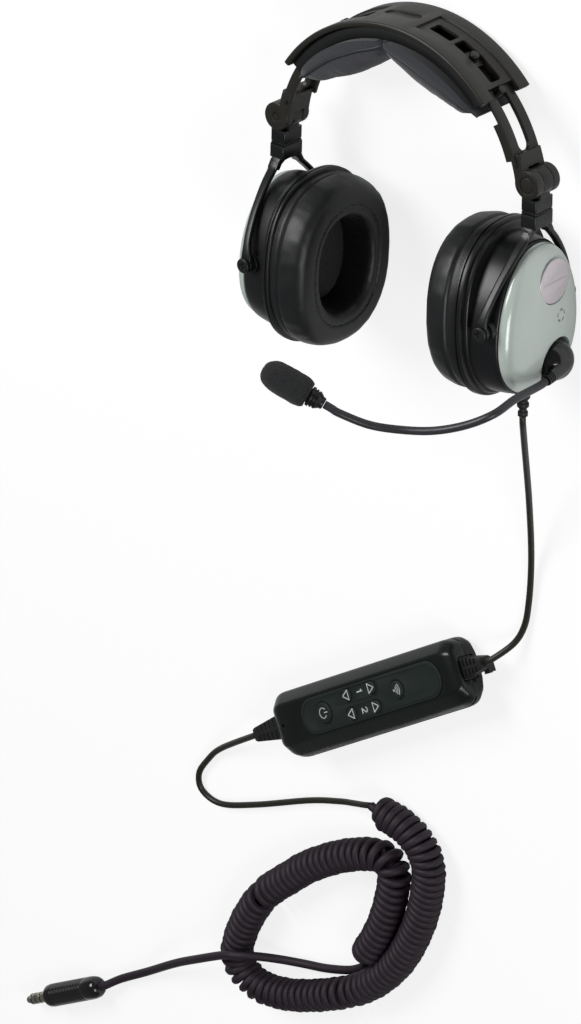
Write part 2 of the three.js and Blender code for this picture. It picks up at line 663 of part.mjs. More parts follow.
function microphone(parent) {
  const along = foamEnd.clone().sub(micStart);
  const g = group(parent, ...micStart.toArray());
  g.quaternion.setFromUnitVectors(V3(0, 0, 1), along.clone().normalize());
  const neck = 9; // holder shows between gooseneck and foam
  const core = along.length() - 4;
  const holder = turned([[0, 0], [NECK_D / 2 + 1, 0], [5.2, 4], [5.6, neck], [4, neck + GAP], [4, core], [0, core]], 12);
  piece(g, 'mic_holder', holder, blackPlastic);
  const end = neck + FOAM_L;
  const foam = turned([
    [4 + GAP, neck + GAP], [FOAM_R * 0.82, neck + GAP], [FOAM_R, neck + 4], [FOAM_R * 1.02, end - 11], [FOAM_R * 0.85, end - 4],
    [FOAM_R * 0.45, end - 0.6], [0, end], [0, core + GAP], [4 + GAP, core + GAP], [4 + GAP, neck + GAP],
  ], 12);
  piece(g, 'windscreen', foam, foamGrey);
}

function boom(parent) {
  const g = group(parent, 0, BOOM_UP, BOOM_FRONT);
  piece(g, 'boom_base', boomBase(), glossBlack);
  const { geometry, along } = boomElbow();
  piece(g, 'boom_elbow', geometry, glossBlack);
  piece(g, 'gooseneck', gooseneck(along), paint('#4b4b50', 0.4));
  microphone(g);
}

// ---------------------------------------------------------------- strain reliefs
const RELIEF_L = 18;
const RELIEF_R = 4.4;
const RELIEF_RINGS = 3;

// A tapered sleeve with rings, along +Z, with its flange at Z = 0.
function relief(length = RELIEF_L, r0 = RELIEF_R, rings = RELIEF_RINGS) {
  const tip = LEAD_D / 2 + 0.9;
  const profile = [[0, 0], [r0, 0], [r0, 3]];
  const pitch = (length - 3) / rings;
  for (let i = 0; i < rings; i++) {
    const z = 3 + i * pitch;
    const r = r0 + ((tip - r0) * (i + 1)) / rings;
    profile.push([r - 0.6, z + 0.15 * pitch], [r - 0.6, z + 0.45 * pitch], [r, z + 0.55 * pitch], [r, z + 0.95 * pitch]);
  }
  profile.push([tip, length], [0, length]);
  return turned(profile, 8);
}

const RELIEF_FRONT = 2;
const reliefX = shellX + SHELL_T * 0.75;
const reliefY = -(SHELL_H / 2) * shellShare(reliefX) + 1.5;
const reliefHole = () => rod(RELIEF_R + GAP, -8, 12, 16).rotateX(Math.PI / 2).translate(reliefX, reliefY, RELIEF_FRONT);

function cupRelief(parent) {
  const mesh = piece(parent, 'cup_strain_relief', relief(), blackPlastic);
  mesh.rotation.x = Math.PI / 2;
  mesh.position.set(reliefX, reliefY + 1, RELIEF_FRONT);
  return mesh;
}

// ---------------------------------------------------------------- one side of the headset
function side(parent, sign) {
  const prefix = sign > 0 ? 'left' : 'right';
  const arc = group(parent);
  if (sign < 0) arc.rotation.y = Math.PI;
  arc.rotation.order = 'YZX';
  arc.rotation.z = -rad(sign > 0 ? LEFT_OUT : RIGHT_OUT);
  piece(arc, `${prefix}_slider_leaf`, sliderLeaf(), coverBrown);
  piece(arc, `${prefix}_detent_stud`, stud(), steel);
  const hinge = group(arc, hingeX, hingeY, 0);
  const z = HINGE_W / 2;
  const pin = turned([[0, -z], [PIN_R, -z], [PIN_R, z - 1], [PIN_HEAD_R, z - 1], [PIN_HEAD_R, z], [0, z]], 12);
  piece(hinge, `${prefix}_hinge_pin`, pin, steel);
  hinge.rotation.z = -rad(sign > 0 ? LEFT_FOLD : RIGHT_FOLD);
  piece(hinge, `${prefix}_swivel_block`, swivelBlock(), blackPlastic);
  const yokeGroup = group(hinge, 0, -YOKE_HEAD_DROP, 0);
  yokeGroup.rotation.y = rad(CUP_YAW) * sign;
  piece(yokeGroup, `${prefix}_yoke`, yoke(), blackPlastic);
  const cup = group(yokeGroup, pivotX - pivotInCup, -armDrop, 0);
  earCup(cup, sign);
  return cup;
}

// ---------------------------------------------------------------- control module
// Lies along X, its back down. The section has wide chamfers beside the keypad.
const half = MODULE_W / 2;
const flatHalf = half - MODULE_CHAMFER;
const sideTop = MODULE_H - MODULE_CHAMFER * 0.85;
const BELLY_HALF = 8.4;
const bellyRise = (half - 3 - BELLY_HALF) * Math.tan(rad(MODULE_ROLL));

const lowerSection = (inset = 0) => [
  V2(-BELLY_HALF, inset), V2(BELLY_HALF, inset), V2(half - 3 - inset, bellyRise + inset), V2(half - inset, bellyRise + 4),
  V2(half - inset, MODULE_SPLIT), V2(inset - half, MODULE_SPLIT), V2(inset - half, bellyRise + 4), V2(3 + inset - half, bellyRise + inset),
];
const upperSection = (inset = 0) => [
  V2(inset - half, MODULE_SPLIT + GAP), V2(half - inset, MODULE_SPLIT + GAP), V2(half - inset, sideTop - inset * 0.4),
  V2(flatHalf - inset * 0.4, MODULE_H - inset), V2(inset * 0.4 - flatHalf, MODULE_H - inset), V2(inset - half, sideTop - inset * 0.4),
];

// A section extruded along X with drawn-in ends.
function housing(section, length, nose) {
  const g = new THREE.ExtrudeGeometry(new THREE.Shape(section), {
    depth: length - 2 * nose, bevelEnabled: nose > 0, bevelThickness: nose, bevelSize: nose * 0.45, bevelOffset: -nose * 0.45, bevelSegments: 2,
  });
  return g.translate(0, 0, nose - length / 2).rotateX(Math.PI / 2).rotateZ(Math.PI / 2);
}

const MODULE_NOSE = 7;
const MODULE_WALL = 2.2;
const cavityL = MODULE_L - 2 * MODULE_NOSE - 2;

function topCase() {
  const body = housing(upperSection(), MODULE_L, MODULE_NOSE);
  const cavity = housing(upperSection(MODULE_WALL).map((p) => V2(p.x, p.y <= MODULE_SPLIT + GAP ? p.y - 3 : p.y)), cavityL, 0);
  const pocket = plate(stadium(KEYPAD_L + 2 * GAP, KEYPAD_W + 2 * GAP), MODULE_H - KEYPAD_T - GAP, MODULE_H + 5).translate(KEYPAD_AT, 0, 0);
  const wells = keys.map(([, x, y, r]) => rod(r + 0.6, MODULE_H - 10, MODULE_H + 2, 10).translate(KEYPAD_AT + x, y, 0));
  return cut(body, cavity, pocket, ...wells, ...reliefWells());
}

function bottomCase() {
  const body = housing(lowerSection(), MODULE_L, MODULE_NOSE);
  const cavity = housing(lowerSection(MODULE_WALL).map((p) => V2(p.x, p.y >= MODULE_SPLIT ? p.y + 3 : p.y)), cavityL, 0);
  const door = doorBlock(GAP);
  return cut(body, cavity, door, ...reliefWells());
}

const DOOR_L = 2 * CELL_L + 4;
const DOOR_AT = MODULE_L / 2 - BAY_END - DOOR_L / 2; // along the module
const DOOR_W = 2 * BELLY_HALF - 1.2;
function doorBlock(extra) {
  const w = DOOR_W / 2 + extra;
  const outline = [V2(-DOOR_L / 2 - extra, -w), V2(DOOR_L / 2 + extra, -w), V2(DOOR_L / 2 + extra, w), V2(-DOOR_L / 2 - extra, w)];
  return plate(outline, extra > 0 ? -3 : 0.2, MODULE_WALL + 1.5).translate(DOOR_AT, 0, 0);
}

const KEYPAD_AT = 8.5;
const VOLUME_R = 3.9;
const ROW = VOLUME_R + 1.7; // the two volume rows, from the keypad's middle
// name, place along and across the keypad, radius
const keys = [
  ['key_power', -43, 0, 6.4],
  ['key_1_down', -19, ROW, VOLUME_R], ['key_1_up', 3.5, ROW, VOLUME_R],
  ['key_2_down', -19, -ROW, VOLUME_R], ['key_2_up', 3.5, -ROW, VOLUME_R],
  ['key_wireless', 25, 0, 5.4],
];

function keypad() {
  const holes = keys.map(([, x, y, r]) => oval(2 * (r + GAP), 2 * (r + GAP), 2, 12).map((p) => V2(p.x + x, p.y + y)));
  return plate(stadium(KEYPAD_L, KEYPAD_W), MODULE_H - KEYPAD_T, MODULE_H + KEYPAD_RISE, 0, holes).translate(KEYPAD_AT, 0, 0);
}

function key(r) {
  const top = MODULE_H + KEYPAD_RISE + 1.5 * KEY_TRAVEL; // pressed, it still stands proud
  return turned([[0, MODULE_H - 2.2], [r, MODULE_H - 2.2], [r, top - 0.5], [r - 0.6, top], [0, top]], 10);
}

const CELL_Z = MODULE_WALL + 2.4 + CELL_R;
function cell() {
  const h = CELL_L / 2;
  return alongX(turned([[0, -h], [CELL_R, -h], [CELL_R, h - 1.5], [2.7, h - 1.5], [2.7, h], [0, h]], 12));
}

const BOARD_T = 1.6;
function board() {
  const w = flatHalf - MODULE_WALL;
  const from = MODULE_NOSE + 5 - MODULE_L / 2;
  const to = DOOR_AT - CELL_L - 6;
  return plate([V2(from, -w), V2(to, -w), V2(to, w), V2(from, w)], 0, BOARD_T).translate(0, 0, MODULE_H - 7 - BOARD_T);
}

const wellZ = MODULE_SPLIT + GAP / 2;
const reliefWells = () => [-1, 1].map((s) =>
  alongX(rod(RELIEF_R + 1 + GAP, MODULE_L / 2 - 5, MODULE_L / 2 + 5, 16)).rotateZ(s > 0 ? 0 : Math.PI).translate(0, 0, wellZ));

function controlModule(parent) {
  const g = group(parent, MODULE_X, MODULE_Y, 0);
  g.rotation.z = rad(MODULE_TURN);
  // rolled on to the facet beside its belly: that facet lies on the table
  const body = group(g);
  body.rotation.x = -rad(MODULE_ROLL);
  body.position.z = BELLY_HALF * Math.sin(rad(MODULE_ROLL));
  piece(body, 'module_top_case', topCase(), moduleBlack);
  piece(body, 'module_bottom_case', bottomCase(), moduleBlack);
  piece(body, 'battery_door', doorBlock(0), moduleBlack);
  piece(body, 'keypad_membrane', keypad(), keypadGrey);
  for (const [name, x, y, r] of keys) piece(body, name, key(r), keypadGrey).position.set(KEYPAD_AT + x, y, 0);
  for (const [name, x] of [['battery_a', DOOR_AT - CELL_L / 2 - 1], ['battery_b', DOOR_AT + CELL_L / 2 + 1]]) {
    piece(body, name, cell(), batteryPaint).position.set(x, 0, CELL_Z);
  }
  piece(body, 'module_board', board(), boardGreen);
  const seat = MODULE_L / 2 - 4.5;
  const ends = [['module_relief_in', 1], ['module_relief_out', -1]].map(([name, s]) => {
    const mesh = piece(body, name, relief(s > 0 ? RELIEF_L + 2 : RELIEF_L + 14, RELIEF_R + 1, s > 0 ? 3 : 4), blackPlastic);
    mesh.rotation.y = (s * Math.PI) / 2;
    mesh.position.set(s * seat, 0, wellZ);
    return mesh;
  });
  return ends;
}

// ---------------------------------------------------------------- cords, plug
const lead = (parent, name, points, d, material) => {
  const length = new THREE.CatmullRomCurve3(points).getLength();
  return piece(parent, name, tube(points, d, Math.min(40, Math.round(length / (3 * d))), 8), material);
};

// Where a relief's mouth is, and a point one cord diameter further on.
function mouth(mesh, length) {
  mesh.updateWorldMatrix(true, false);
  return [GAP, GAP + LEAD_D].map((d) => mesh.localToWorld(V3(0, 0, length + d)));
}

const resting = CURL_D / 2 + 0.1;
const onTable = ([x, y, z = resting]) => V3(x + HEADSET_X, y + HEADSET_Y, z);

// Chosen routes, from the middle of the headband's arc, height last where off the table.
const CUP_ROUTE = [
  [62.5, -149.7, 44], [51.7, -172.1, 33], [38.5, -201.9, 20], [25.8, -236.1, 9], [18.1, -259.8, 4],
  [12.1, -281.6], [6, -299.5], [-1.3, -311.5, 6],
];
const COIL_LEAD_ROUTE = [
  [-246.9, -446.8, 5], [-262.1, -460], [-271.9, -472.7], [-271.5, -484.4], [-257.6, -490.1],
  [-228.4, -482.7], [-184, -468.2], [-157.8, -461, 4],
];
const CURL_ROUTE = [
  [-124.7, -456.9], [-109.9, -457.3], [-97.5, -465.8], [-90.9, -479.2], [-92.5, -494], [-98.4, -508],
  [-106.3, -523], [-113.9, -536.1], [-121.2, -549.4], [-127.8, -562.9], [-137.3, -574.7],
  [-149.2, -583.9], [-162.3, -591.5], [-175.9, -598.2], [-189.8, -604], [-204.1, -608.9],
  [-218.8, -612.7], [-233.7, -614.4], [-248.6, -607.3], [-254.5, -593.8], [-251.8, -579.2],
  [-245.4, -565.5], [-237.6, -552.5], [-227.6, -541.2], [-215.8, -531.8], [-203.1, -523.6],
  [-190.3, -515.4], [-177.5, -507.5], [-164.3, -500], [-150.6, -493.7], [-134.6, -496.1],
  [-127.8, -508.6], [-131.2, -523.1], [-137.8, -536.7], [-145.7, -549.6], [-154.2, -562.1],
];
const TAIL_ROUTE = [
  [-176.6, -579.9, 4], [-195.7, -586.1], [-213.8, -588.1, 4], [-229.9, -587.5, 9.5],
  [-243, -586.4, 17.5], [-253.1, -587.4, 21.5], [-263.2, -592, 18], [-277.3, -599.7, 9.5],
  [-292.5, -608.4, 4], [-307.7, -616.6], [-330.9, -628.5], [-357.3, -641.5, 3.5],
];
const PLUG_AT = [-386.7, -657.3];
const PLUG_TURN = 204.3;

// Shares of a centre line's length, so spaced that curls of radius R lie evenly on the inside of
// its bends and fan out on the outside.
function evenInside(center, steps, R) {
  const fine = 800;
  const slice = center.getLength() / fine;
  const inside = [0];
  for (let i = 1; i <= fine; i++) {
    const turn = center.getTangentAt((i - 1) / fine).angleTo(center.getTangentAt(i / fine));
    inside.push(inside[i - 1] + Math.max(0.3 * slice, slice - R * turn));
  }
  const shares = [];
  for (let i = 0, k = 0; i <= steps; i++) {
    const target = (inside[fine] * i) / steps;
    while (k < fine - 1 && inside[k + 1] < target) k++;
    shares.push(Math.min(1, (k + (target - inside[k]) / (inside[k + 1] - inside[k])) / fine));
  }
  return shares;
}

// A cord wound round a centre line, 8 steps of 5 sides a curl, in one closed skin.
function curls(center, count, d, od) {
  const R = (od - d) / 2;
  const steps = count * 8;
  const up = V3(0, 0, 1);
  const wire = evenInside(center, steps, R).map((share, i) => {
    const p = center.getPointAt(share);
    const t = center.getTangentAt(share);
    const x = t.clone().cross(up).normalize();
    const y = x.clone().cross(t).normalize();
    const a = (i / 8) * 2 * Math.PI;
    const grow = Math.min(1, i / 8, (steps - i) / 8); // the first and last curl leave the axis
    return p.clone().addScaledVector(x, R * grow * Math.sin(a)).addScaledVector(y, -R * grow * Math.cos(a));
  });
  const t0 = center.getTangentAt(0);
  const t1 = center.getTangentAt(1);
  wire.unshift(wire[0].clone().addScaledVector(t0, -2 * d), wire[0].clone().addScaledVector(t0, -d));
  wire.push(wire.at(-1).clone().addScaledVector(t1, d), wire.at(-1).clone().addScaledVector(t1, 2 * d));
  return wire;
}

function ringsAlong(wire, d, sides) {
  const tangent = (i) => wire[Math.min(i + 1, wire.length - 1)].clone().sub(wire[Math.max(i - 1, 0)]).normalize();
  let normal = V3(0, 0, 1);
  return wire.map((p, i) => {
    const t = tangent(i);
    normal = normal.addScaledVector(t, -normal.dot(t)).normalize();
    const n = normal.clone();
    const b = t.clone().cross(n);
    return Array.from({ length: sides }, (_, k) => {
      const a = (2 * Math.PI * k) / sides;
      return p.clone().addScaledVector(n, (d / 2) * Math.cos(a)).addScaledVector(b, (d / 2) * Math.sin(a));
    });
  });
}

// Least distance between the surfaces of turns that aren't next to each other on the cord.
function leastGap(wire, d) {
  let least = Infinity;
  let at = 0;
  for (let i = 0; i < wire.length; i++) {
    for (let j = i + 5; j < wire.length; j++) {
      const distance = segmentDistance(wire, i, j);
      if (distance < least) [least, at] = [distance, i];
    }
  }
  return [(least - d).toFixed(2), Math.floor(at / 8)];
}

function segmentDistance(wire, i, j) {
  const p = wire[i];
  const a = wire[j];
  const b = wire[Math.min(j + 1, wire.length - 1)];
  const ab = b.clone().sub(a);
  const t = ab.lengthSq() > 0 ? THREE.MathUtils.clamp(p.clone().sub(a).dot(ab) / ab.lengthSq(), 0, 1) : 0;
  return p.distanceTo(a.clone().addScaledVector(ab, t));
}

function curlyCord(parent) {
  const z = CURL_OD / 2 + 0.1;
  const center = new THREE.CatmullRomCurve3(CURL_ROUTE.map(([x, y]) => onTable([x, y, z])), false, 'centripetal');
  center.arcLengthDivisions = 2000;
  const wire = curls(center, CURLS, CURL_D, CURL_OD);
  const [gap, curl] = leastGap(wire, CURL_D);
  console.log(`curly cord: least gap to itself ${gap} mm, at curl ${curl}`);
  piece(parent, 'curly_cord', loft(ringsAlong(wire, CURL_D, 5)), curlRubber);
  return wire;
}

function plug(parent) {
  const g = group(parent, PLUG_AT[0] + HEADSET_X, PLUG_AT[1] + HEADSET_Y, HANDLE_D / 2);
  g.rotation.z = rad(PLUG_TURN);
  const r = HANDLE_D / 2;
  const profile = [[0, 0], [CURL_D / 2 + 0.8, 0], [CURL_D / 2 + 1.4, 6], [r * 0.8, 10], [r * 0.92, 13]];
  const grooves = 2;
  const first = HANDLE_L * 0.42;
  for (let i = 0; i < grooves; i++) {
    const z = first + (i * (HANDLE_L - 6 - first)) / grooves;
    profile.push([r, z], [r, z + 2.4], [r - 0.5, z + 2.8], [r - 0.5, z + 3.6]);
  }
  profile.push([r, HANDLE_L - 4], [r, HANDLE_L - 1], [r - 1, HANDLE_L], [0, HANDLE_L]);
  piece(g, 'plug_handle', alongX(turned(profile, 10)), glossBlack);
  const p = PIN_D / 2;
  const z0 = HANDLE_L + GAP;
  const ring = (z) => [[p, z], [p - 0.35, z + 0.2], [p - 0.35, z + 1], [p, z + 1.2]];
  const end = z0 + PIN_L;
  const pinProfile = [[0, z0], [p, z0], ...[0.3, 0.5, 0.68].flatMap((s) => ring(z0 + s * PIN_L)),
    [p * 0.99, end - 5], [p * 0.62, end - 3.6], [p * 0.7, end - 2], [p * 0.4, end - 0.4], [0, end]];
  piece(g, 'plug_pin', alongX(turned(pinProfile, 8)), nickel);
  g.updateWorldMatrix(true, false);
  return [-GAP, -GAP - CURL_D].map((x) => g.localToWorld(V3(x, 0, 0)));
}

// ---------------------------------------------------------------- the whole product
function build() {
  const object = new THREE.Group();
  const headset = group(object, HEADSET_X, HEADSET_Y, HEADSET_Z);
  headset.rotation.x = -rad(TABLE_TILT);
  headband(headset);
  const leftCup = side(headset, 1);
  side(headset, -1);
  boom(leftCup);
  const cupExit = cupRelief(leftCup);
  const [moduleIn, moduleOut] = controlModule(object);
  const a = mouth(cupExit, RELIEF_L);
  const b = mouth(moduleIn, RELIEF_L + 2);
  lead(object, 'cup_lead', [...a, ...CUP_ROUTE.map(onTable), ...b.reverse()], LEAD_D, rubber);
  const wire = curlyCord(object);
  const c = mouth(moduleOut, RELIEF_L + 14);
  const into = wire[0].clone().sub(wire[1]).normalize();
  const curlIn = [wire[0].clone().addScaledVector(into, GAP), wire[0].clone().addScaledVector(into, GAP + LEAD_D)];
  lead(object, 'coil_lead', [...c, ...COIL_LEAD_ROUTE.map(onTable), ...curlIn.reverse()], LEAD_D, rubber);
  const out = wire.at(-1).clone().sub(wire.at(-2)).normalize();
  const curlOut = [GAP, GAP + CURL_D].map((s) => wire.at(-1).clone().addScaledVector(out, s));
  lead(object, 'plug_lead', [...curlOut, ...TAIL_ROUTE.map(onTable), ...plug(object).reverse()], CURL_D, curlRubber);
  return object;
}

const headsetWithCord = build();
export default headsetWithCord;
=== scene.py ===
from math import atan2, copysign, cos, exp, hypot, pi, radians, sin, sqrt, tan, tau

import bmesh
import bpy
from mathutils import Matrix, Vector, noise


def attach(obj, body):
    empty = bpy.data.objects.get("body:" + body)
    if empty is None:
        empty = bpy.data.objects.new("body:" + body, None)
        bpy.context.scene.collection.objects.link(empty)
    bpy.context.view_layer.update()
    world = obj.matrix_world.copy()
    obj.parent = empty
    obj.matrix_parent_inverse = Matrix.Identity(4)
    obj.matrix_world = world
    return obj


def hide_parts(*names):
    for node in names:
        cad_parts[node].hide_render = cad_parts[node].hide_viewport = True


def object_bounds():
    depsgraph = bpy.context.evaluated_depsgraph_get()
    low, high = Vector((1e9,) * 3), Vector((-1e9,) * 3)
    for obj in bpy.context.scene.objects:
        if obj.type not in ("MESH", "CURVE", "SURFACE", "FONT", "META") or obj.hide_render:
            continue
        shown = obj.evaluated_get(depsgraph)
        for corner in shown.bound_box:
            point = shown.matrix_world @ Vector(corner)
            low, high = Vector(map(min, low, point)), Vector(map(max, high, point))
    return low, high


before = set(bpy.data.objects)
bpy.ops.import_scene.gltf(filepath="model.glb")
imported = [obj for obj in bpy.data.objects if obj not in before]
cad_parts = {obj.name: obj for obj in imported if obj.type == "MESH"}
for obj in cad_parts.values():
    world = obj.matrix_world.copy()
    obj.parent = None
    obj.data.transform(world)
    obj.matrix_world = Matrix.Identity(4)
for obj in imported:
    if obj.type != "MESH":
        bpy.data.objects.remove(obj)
cad_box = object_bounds()

# -------------------- the photographer's table
# A sheet of white seamless paper under two large soft boxes. The paper takes a faint shadow
# and burns out to white behind the object.


def linear(code):
    """The linear colour of an sRGB hex code."""
    parts = [int(code[i : i + 2], 16) / 255 for i in (1, 3, 5)]
    return tuple(c / 12.92 if c <= 0.04045 else ((c + 0.055) / 1.055) ** 2.4 for c in parts) + (1.0,)


def add(tree, kind, values=None, links=None, **settings):
    """One more node in the tree, with its settings, its plain values and what feeds it."""
    node = tree.nodes.new(kind)
    for name, value in settings.items():
        setattr(node, name, value)
    for socket, value in (values or {}).items():
        node.inputs[socket].default_value = value
    for socket, source in (links or {}).items():
        tree.links.new(source, node.inputs[socket])
    return node


scene = bpy.context.scene
scene.view_settings.view_transform = "Standard"

paper = bpy.data.materials.new("white seamless paper")
paper.use_nodes = True
tree = paper.node_tree
tree.nodes.clear()
diffuse = add(tree, "ShaderNodeBsdfDiffuse", {"Color": linear("#fbfbfb")})
burnt = add(tree, "ShaderNodeEmission", {"Color": (1, 1, 1, 1), "Strength": 1.12})
path = add(tree, "ShaderNodeLightPath")
part = add(tree, "ShaderNodeMath", {1: 0.72}, {0: path.outputs["Is Camera Ray"]}, operation="MULTIPLY")
mix = add(
    tree, "ShaderNodeMixShader", links={0: part.outputs[0], 1: diffuse.outputs[0], 2: burnt.outputs[0]}
)
add(tree, "ShaderNodeOutputMaterial", links={"Surface": mix.outputs[0]})

bm = bmesh.new()
bmesh.ops.create_grid(bm, x_segments=1, y_segments=1, size=6.0)
mesh = bpy.data.meshes.new("table_paper")
bm.to_mesh(mesh)
bm.free()
table = bpy.data.objects.new("table_paper", mesh)
table.data.materials.append(paper)
scene.collection.objects.link(table)
table.location.z = cad_box[0][2] - 0.0002

world = bpy.data.worlds.new("white room")
world.use_nodes = True
scene.world = world
tree = world.node_tree
tree.nodes.clear()
path = add(tree, "ShaderNodeLightPath")
seen = add(
    tree, "ShaderNodeMath",
    links={0: path.outputs["Is Camera Ray"], 1: path.outputs["Is Transmission Ray"]}, operation="MAXIMUM"
)
room = add(tree, "ShaderNodeBackground", {"Color": linear("#f4f6f8"), "Strength": 0.16})
white = add(tree, "ShaderNodeBackground", {"Color": (1, 1, 1, 1), "Strength": 1.0})
mix = add(tree, "ShaderNodeMixShader", links={0: seen.outputs[0], 1: room.outputs[0], 2: white.outputs[0]})
add(tree, "ShaderNodeOutputWorld", links={"Surface": mix.outputs[0]})

for name, place, width, power in [
    ("soft_box_top", (-0.7, 1.3, 1.5), 1.0, 27.0),
    ("soft_box_right", (1.6, -0.3, 1.2), 0.8, 12.0),
]:
    lamp = bpy.data.lights.new(name, "AREA")
    lamp.size = width
    lamp.energy = power
    holder = bpy.data.objects.new(name, lamp)
    aim = Vector(place)
    holder.matrix_world = Matrix.Translation(aim) @ aim.to_track_quat("Z", "Y").to_matrix().to_4x4()
    scene.collection.objects.link(holder)

# The camera looks down from the wearer's upper left, about 3.5 m away, rolled a little.
camera = bpy.data.objects.new("camera", bpy.data.cameras.new("camera"))
camera.data.lens = 230.1
camera.data.clip_end = 20
right, up = Vector((0.761203, -0.144535, -0.632202)), Vector((-0.206599, 0.870011, -0.447658))
back = Vector((0.614725, 0.471371, 0.632394))
stand = Matrix.Translation((2.198478, 1.676250, 2.383926))
camera.matrix_world = stand @ Matrix((right, up, back)).transposed().to_4x4()
scene.collection.objects.link(camera)
scene.camera = camera

# -------------------- headband cover
# One long injection-moulded bow in brown-black nylon, fine satin texture, with faint random wear in
# its tone and sheen. Over each slider its top has a sunk track with a short window, a long slot and a
# broad opening; a shallow recess lies at the crown. It snaps over the frame from outside.


def turn(axis, degrees):
    return Matrix.Rotation(radians(degrees), 4, axis)


def shift(x, y, z):
    return Matrix.Translation((x, y, z))


HEAD = shift(0.0442, 0.167, 0.0328) @ turn("X", -8.3) @ Matrix.Scale(0.001, 4)
BAND_R, BAND_T, BAND_W, BAND_HALF = 88.0, 3.4, 40.0, 51.6
SLOT_W, TRACK_W, TRACK_DEPTH = 9.0, 22.0, 1.2


def polar(radius, degrees, z):
    """A point by radius and degrees from the crown; + is toward the wearer's left."""
    return Vector((radius * sin(radians(degrees)), radius * cos(radians(degrees)), z))


def surface(name, colour, roughness, metallic=0.0, **sockets):
    """A new material with one principled shader in it; sockets are given by name with _ for space."""
    material = bpy.data.materials.new(name)
    material.use_nodes = True
    tree = material.node_tree
    tree.nodes.clear()
    values = {"Base Color": linear(colour), "Roughness": roughness, "Metallic": metallic}
    values.update({key.replace("_", " "): value for key, value in sockets.items()})
    shader = add(tree, "ShaderNodeBsdfPrincipled", values)
    add(tree, "ShaderNodeOutputMaterial", links={"Surface": shader.outputs[0]})
    return material, tree, shader


def loft(rings, hoop=False, caps=True):
    """A skin over rings of equally many points, closed round each ring."""
    bm = bmesh.new()
    rows = [[bm.verts.new(p) for p in ring] for ring in rings]
    count = len(rows[0])
    pairs = list(zip(rows, rows[1:])) + ([(rows[-1], rows[0])] if hoop else [])
    for a, b in pairs:
        for j in range(count):
            k = (j + 1) % count
            bm.faces.new((a[j], a[k], b[k], b[j]))
    if caps and not hoop:
        bm.faces.new(rows[0][::-1])
        bm.faces.new(rows[-1])
    bmesh.ops.recalc_face_normals(bm, faces=bm.faces)
    return bm


def rounded(points, radius, steps=3):
    """The outline with its corners rounded."""
    out = []
    for i, p in enumerate(points):
        p = Vector(p)
        a, b = Vector(points[i - 1]) - p, Vector(points[(i + 1) % len(points)]) - p
        r = min(radius, a.length * 0.45, b.length * 0.45)
        start, end = p + a.normalized() * r, p + b.normalized() * r
        for k in range(steps + 1):
            t = k / steps
            out.append(start.lerp(p, t).lerp(p.lerp(end, t), t))
    return out


def rect(x0, y0, x1, y1):
    """A rectangle's four corners."""
    return [(x0, y0), (x1, y0), (x1, y1), (x0, y1)]


def slab(outline, low, high, order=(0, 1, 2)):
    """A prism over an outline; order says which of its first, second and level is x, y and z."""
    return loft([[Vector([(*p, level)[k] for k in order]) for p in outline] for level in (low, high)])


def bow(section, start, stop, steps=60):
    """A (radius, z) section swept round the band's arc."""
    return loft([
        [polar(r, start + (stop - start) * i / steps, z) for r, z in section] for i in range(steps + 1)
    ])


def wrapped(outline, low, high):
    """A prism over a (degrees, z) outline, from one radius to another."""
    return loft([[polar(r, a, z) for a, z in outline] for r in (low, high)])


def stadium(length, width, steps=8):
    """A slot's outline with round ends, lying along the first axis."""
    r = width / 2
    turns = [(1, -90), (-1, 90)]
    ends = [(s, radians(f + 180 * i / steps)) for s, f in turns for i in range(steps + 1)]
    return [Vector((s * (length / 2 - r) + r * cos(a), r * sin(a))) for s, a in ends]


def merged(bm, tools, operation="DIFFERENCE"):
    """The solid with the tools cut from it or joined to it."""
    solids = []
    for part in [bm, *tools]:
        bmesh.ops.recalc_face_normals(part, faces=part.faces)
        mesh = bpy.data.meshes.new("solid")
        part.to_mesh(mesh)
        part.free()
        solids.append(bpy.data.objects.new("solid", mesh))
        scene.collection.objects.link(solids[-1])
    for tool in solids[1:]:
        step = solids[0].modifiers.new("cut", "BOOLEAN")
        step.object = tool
        step.operation = operation
        step.solver = "EXACT"
    bpy.context.view_layer.update()
    result = bpy.data.meshes.new_from_object(solids[0].evaluated_get(bpy.context.evaluated_depsgraph_get()))
    out = bmesh.new()
    out.from_mesh(result)
    for solid in solids:
        mesh = solid.data
        bpy.data.objects.remove(solid)
        bpy.data.meshes.remove(mesh)
    bpy.data.meshes.remove(result)
    return out


def piece(name, bm, place, material, body, *nodes, edge=0.0, sharp=34):
    """The finished piece: edges softened, put in its place, riding its body, in its node's stead."""
    bmesh.ops.remove_doubles(bm, verts=bm.verts, dist=0.005)
    bmesh.ops.recalc_face_normals(bm, faces=bm.faces)
    limit = radians(sharp)
    if edge:
        hard = [e for e in bm.edges if len(e.link_faces) == 2 and e.calc_face_angle() > limit]
        bmesh.ops.bevel(
            bm, geom=hard, offset=edge, offset_type="OFFSET", segments=2, profile=0.5, affect="EDGES",
            clamp_overlap=True, material=-1
        )
    for face in bm.faces:
        face.smooth = True
    for e in bm.edges:
        e.smooth = not (len(e.link_faces) == 2 and e.calc_face_angle() > limit)
    bm.transform(place)
    if place.determinant() < 0:
        bmesh.ops.reverse_faces(bm, faces=bm.faces)
    mesh = bpy.data.meshes.new(name)
    bm.to_mesh(mesh)
    bm.free()
    made = bpy.data.objects.new(name, mesh)
    scene.collection.objects.link(made)
    for m in material if isinstance(material, list) else [material]:
        mesh.materials.append(m)
    if nodes:
        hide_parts(*nodes)
    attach(made, body)
    return made


def lift(tree, shader, height, strength, depth):
    """Raise the surface by a texture, by so many metres."""
    skin = add(tree, "ShaderNodeBump", {"Strength": strength, "Distance": depth}, {"Height": height})
    tree.links.new(skin.outputs[0], shader.inputs["Normal"])


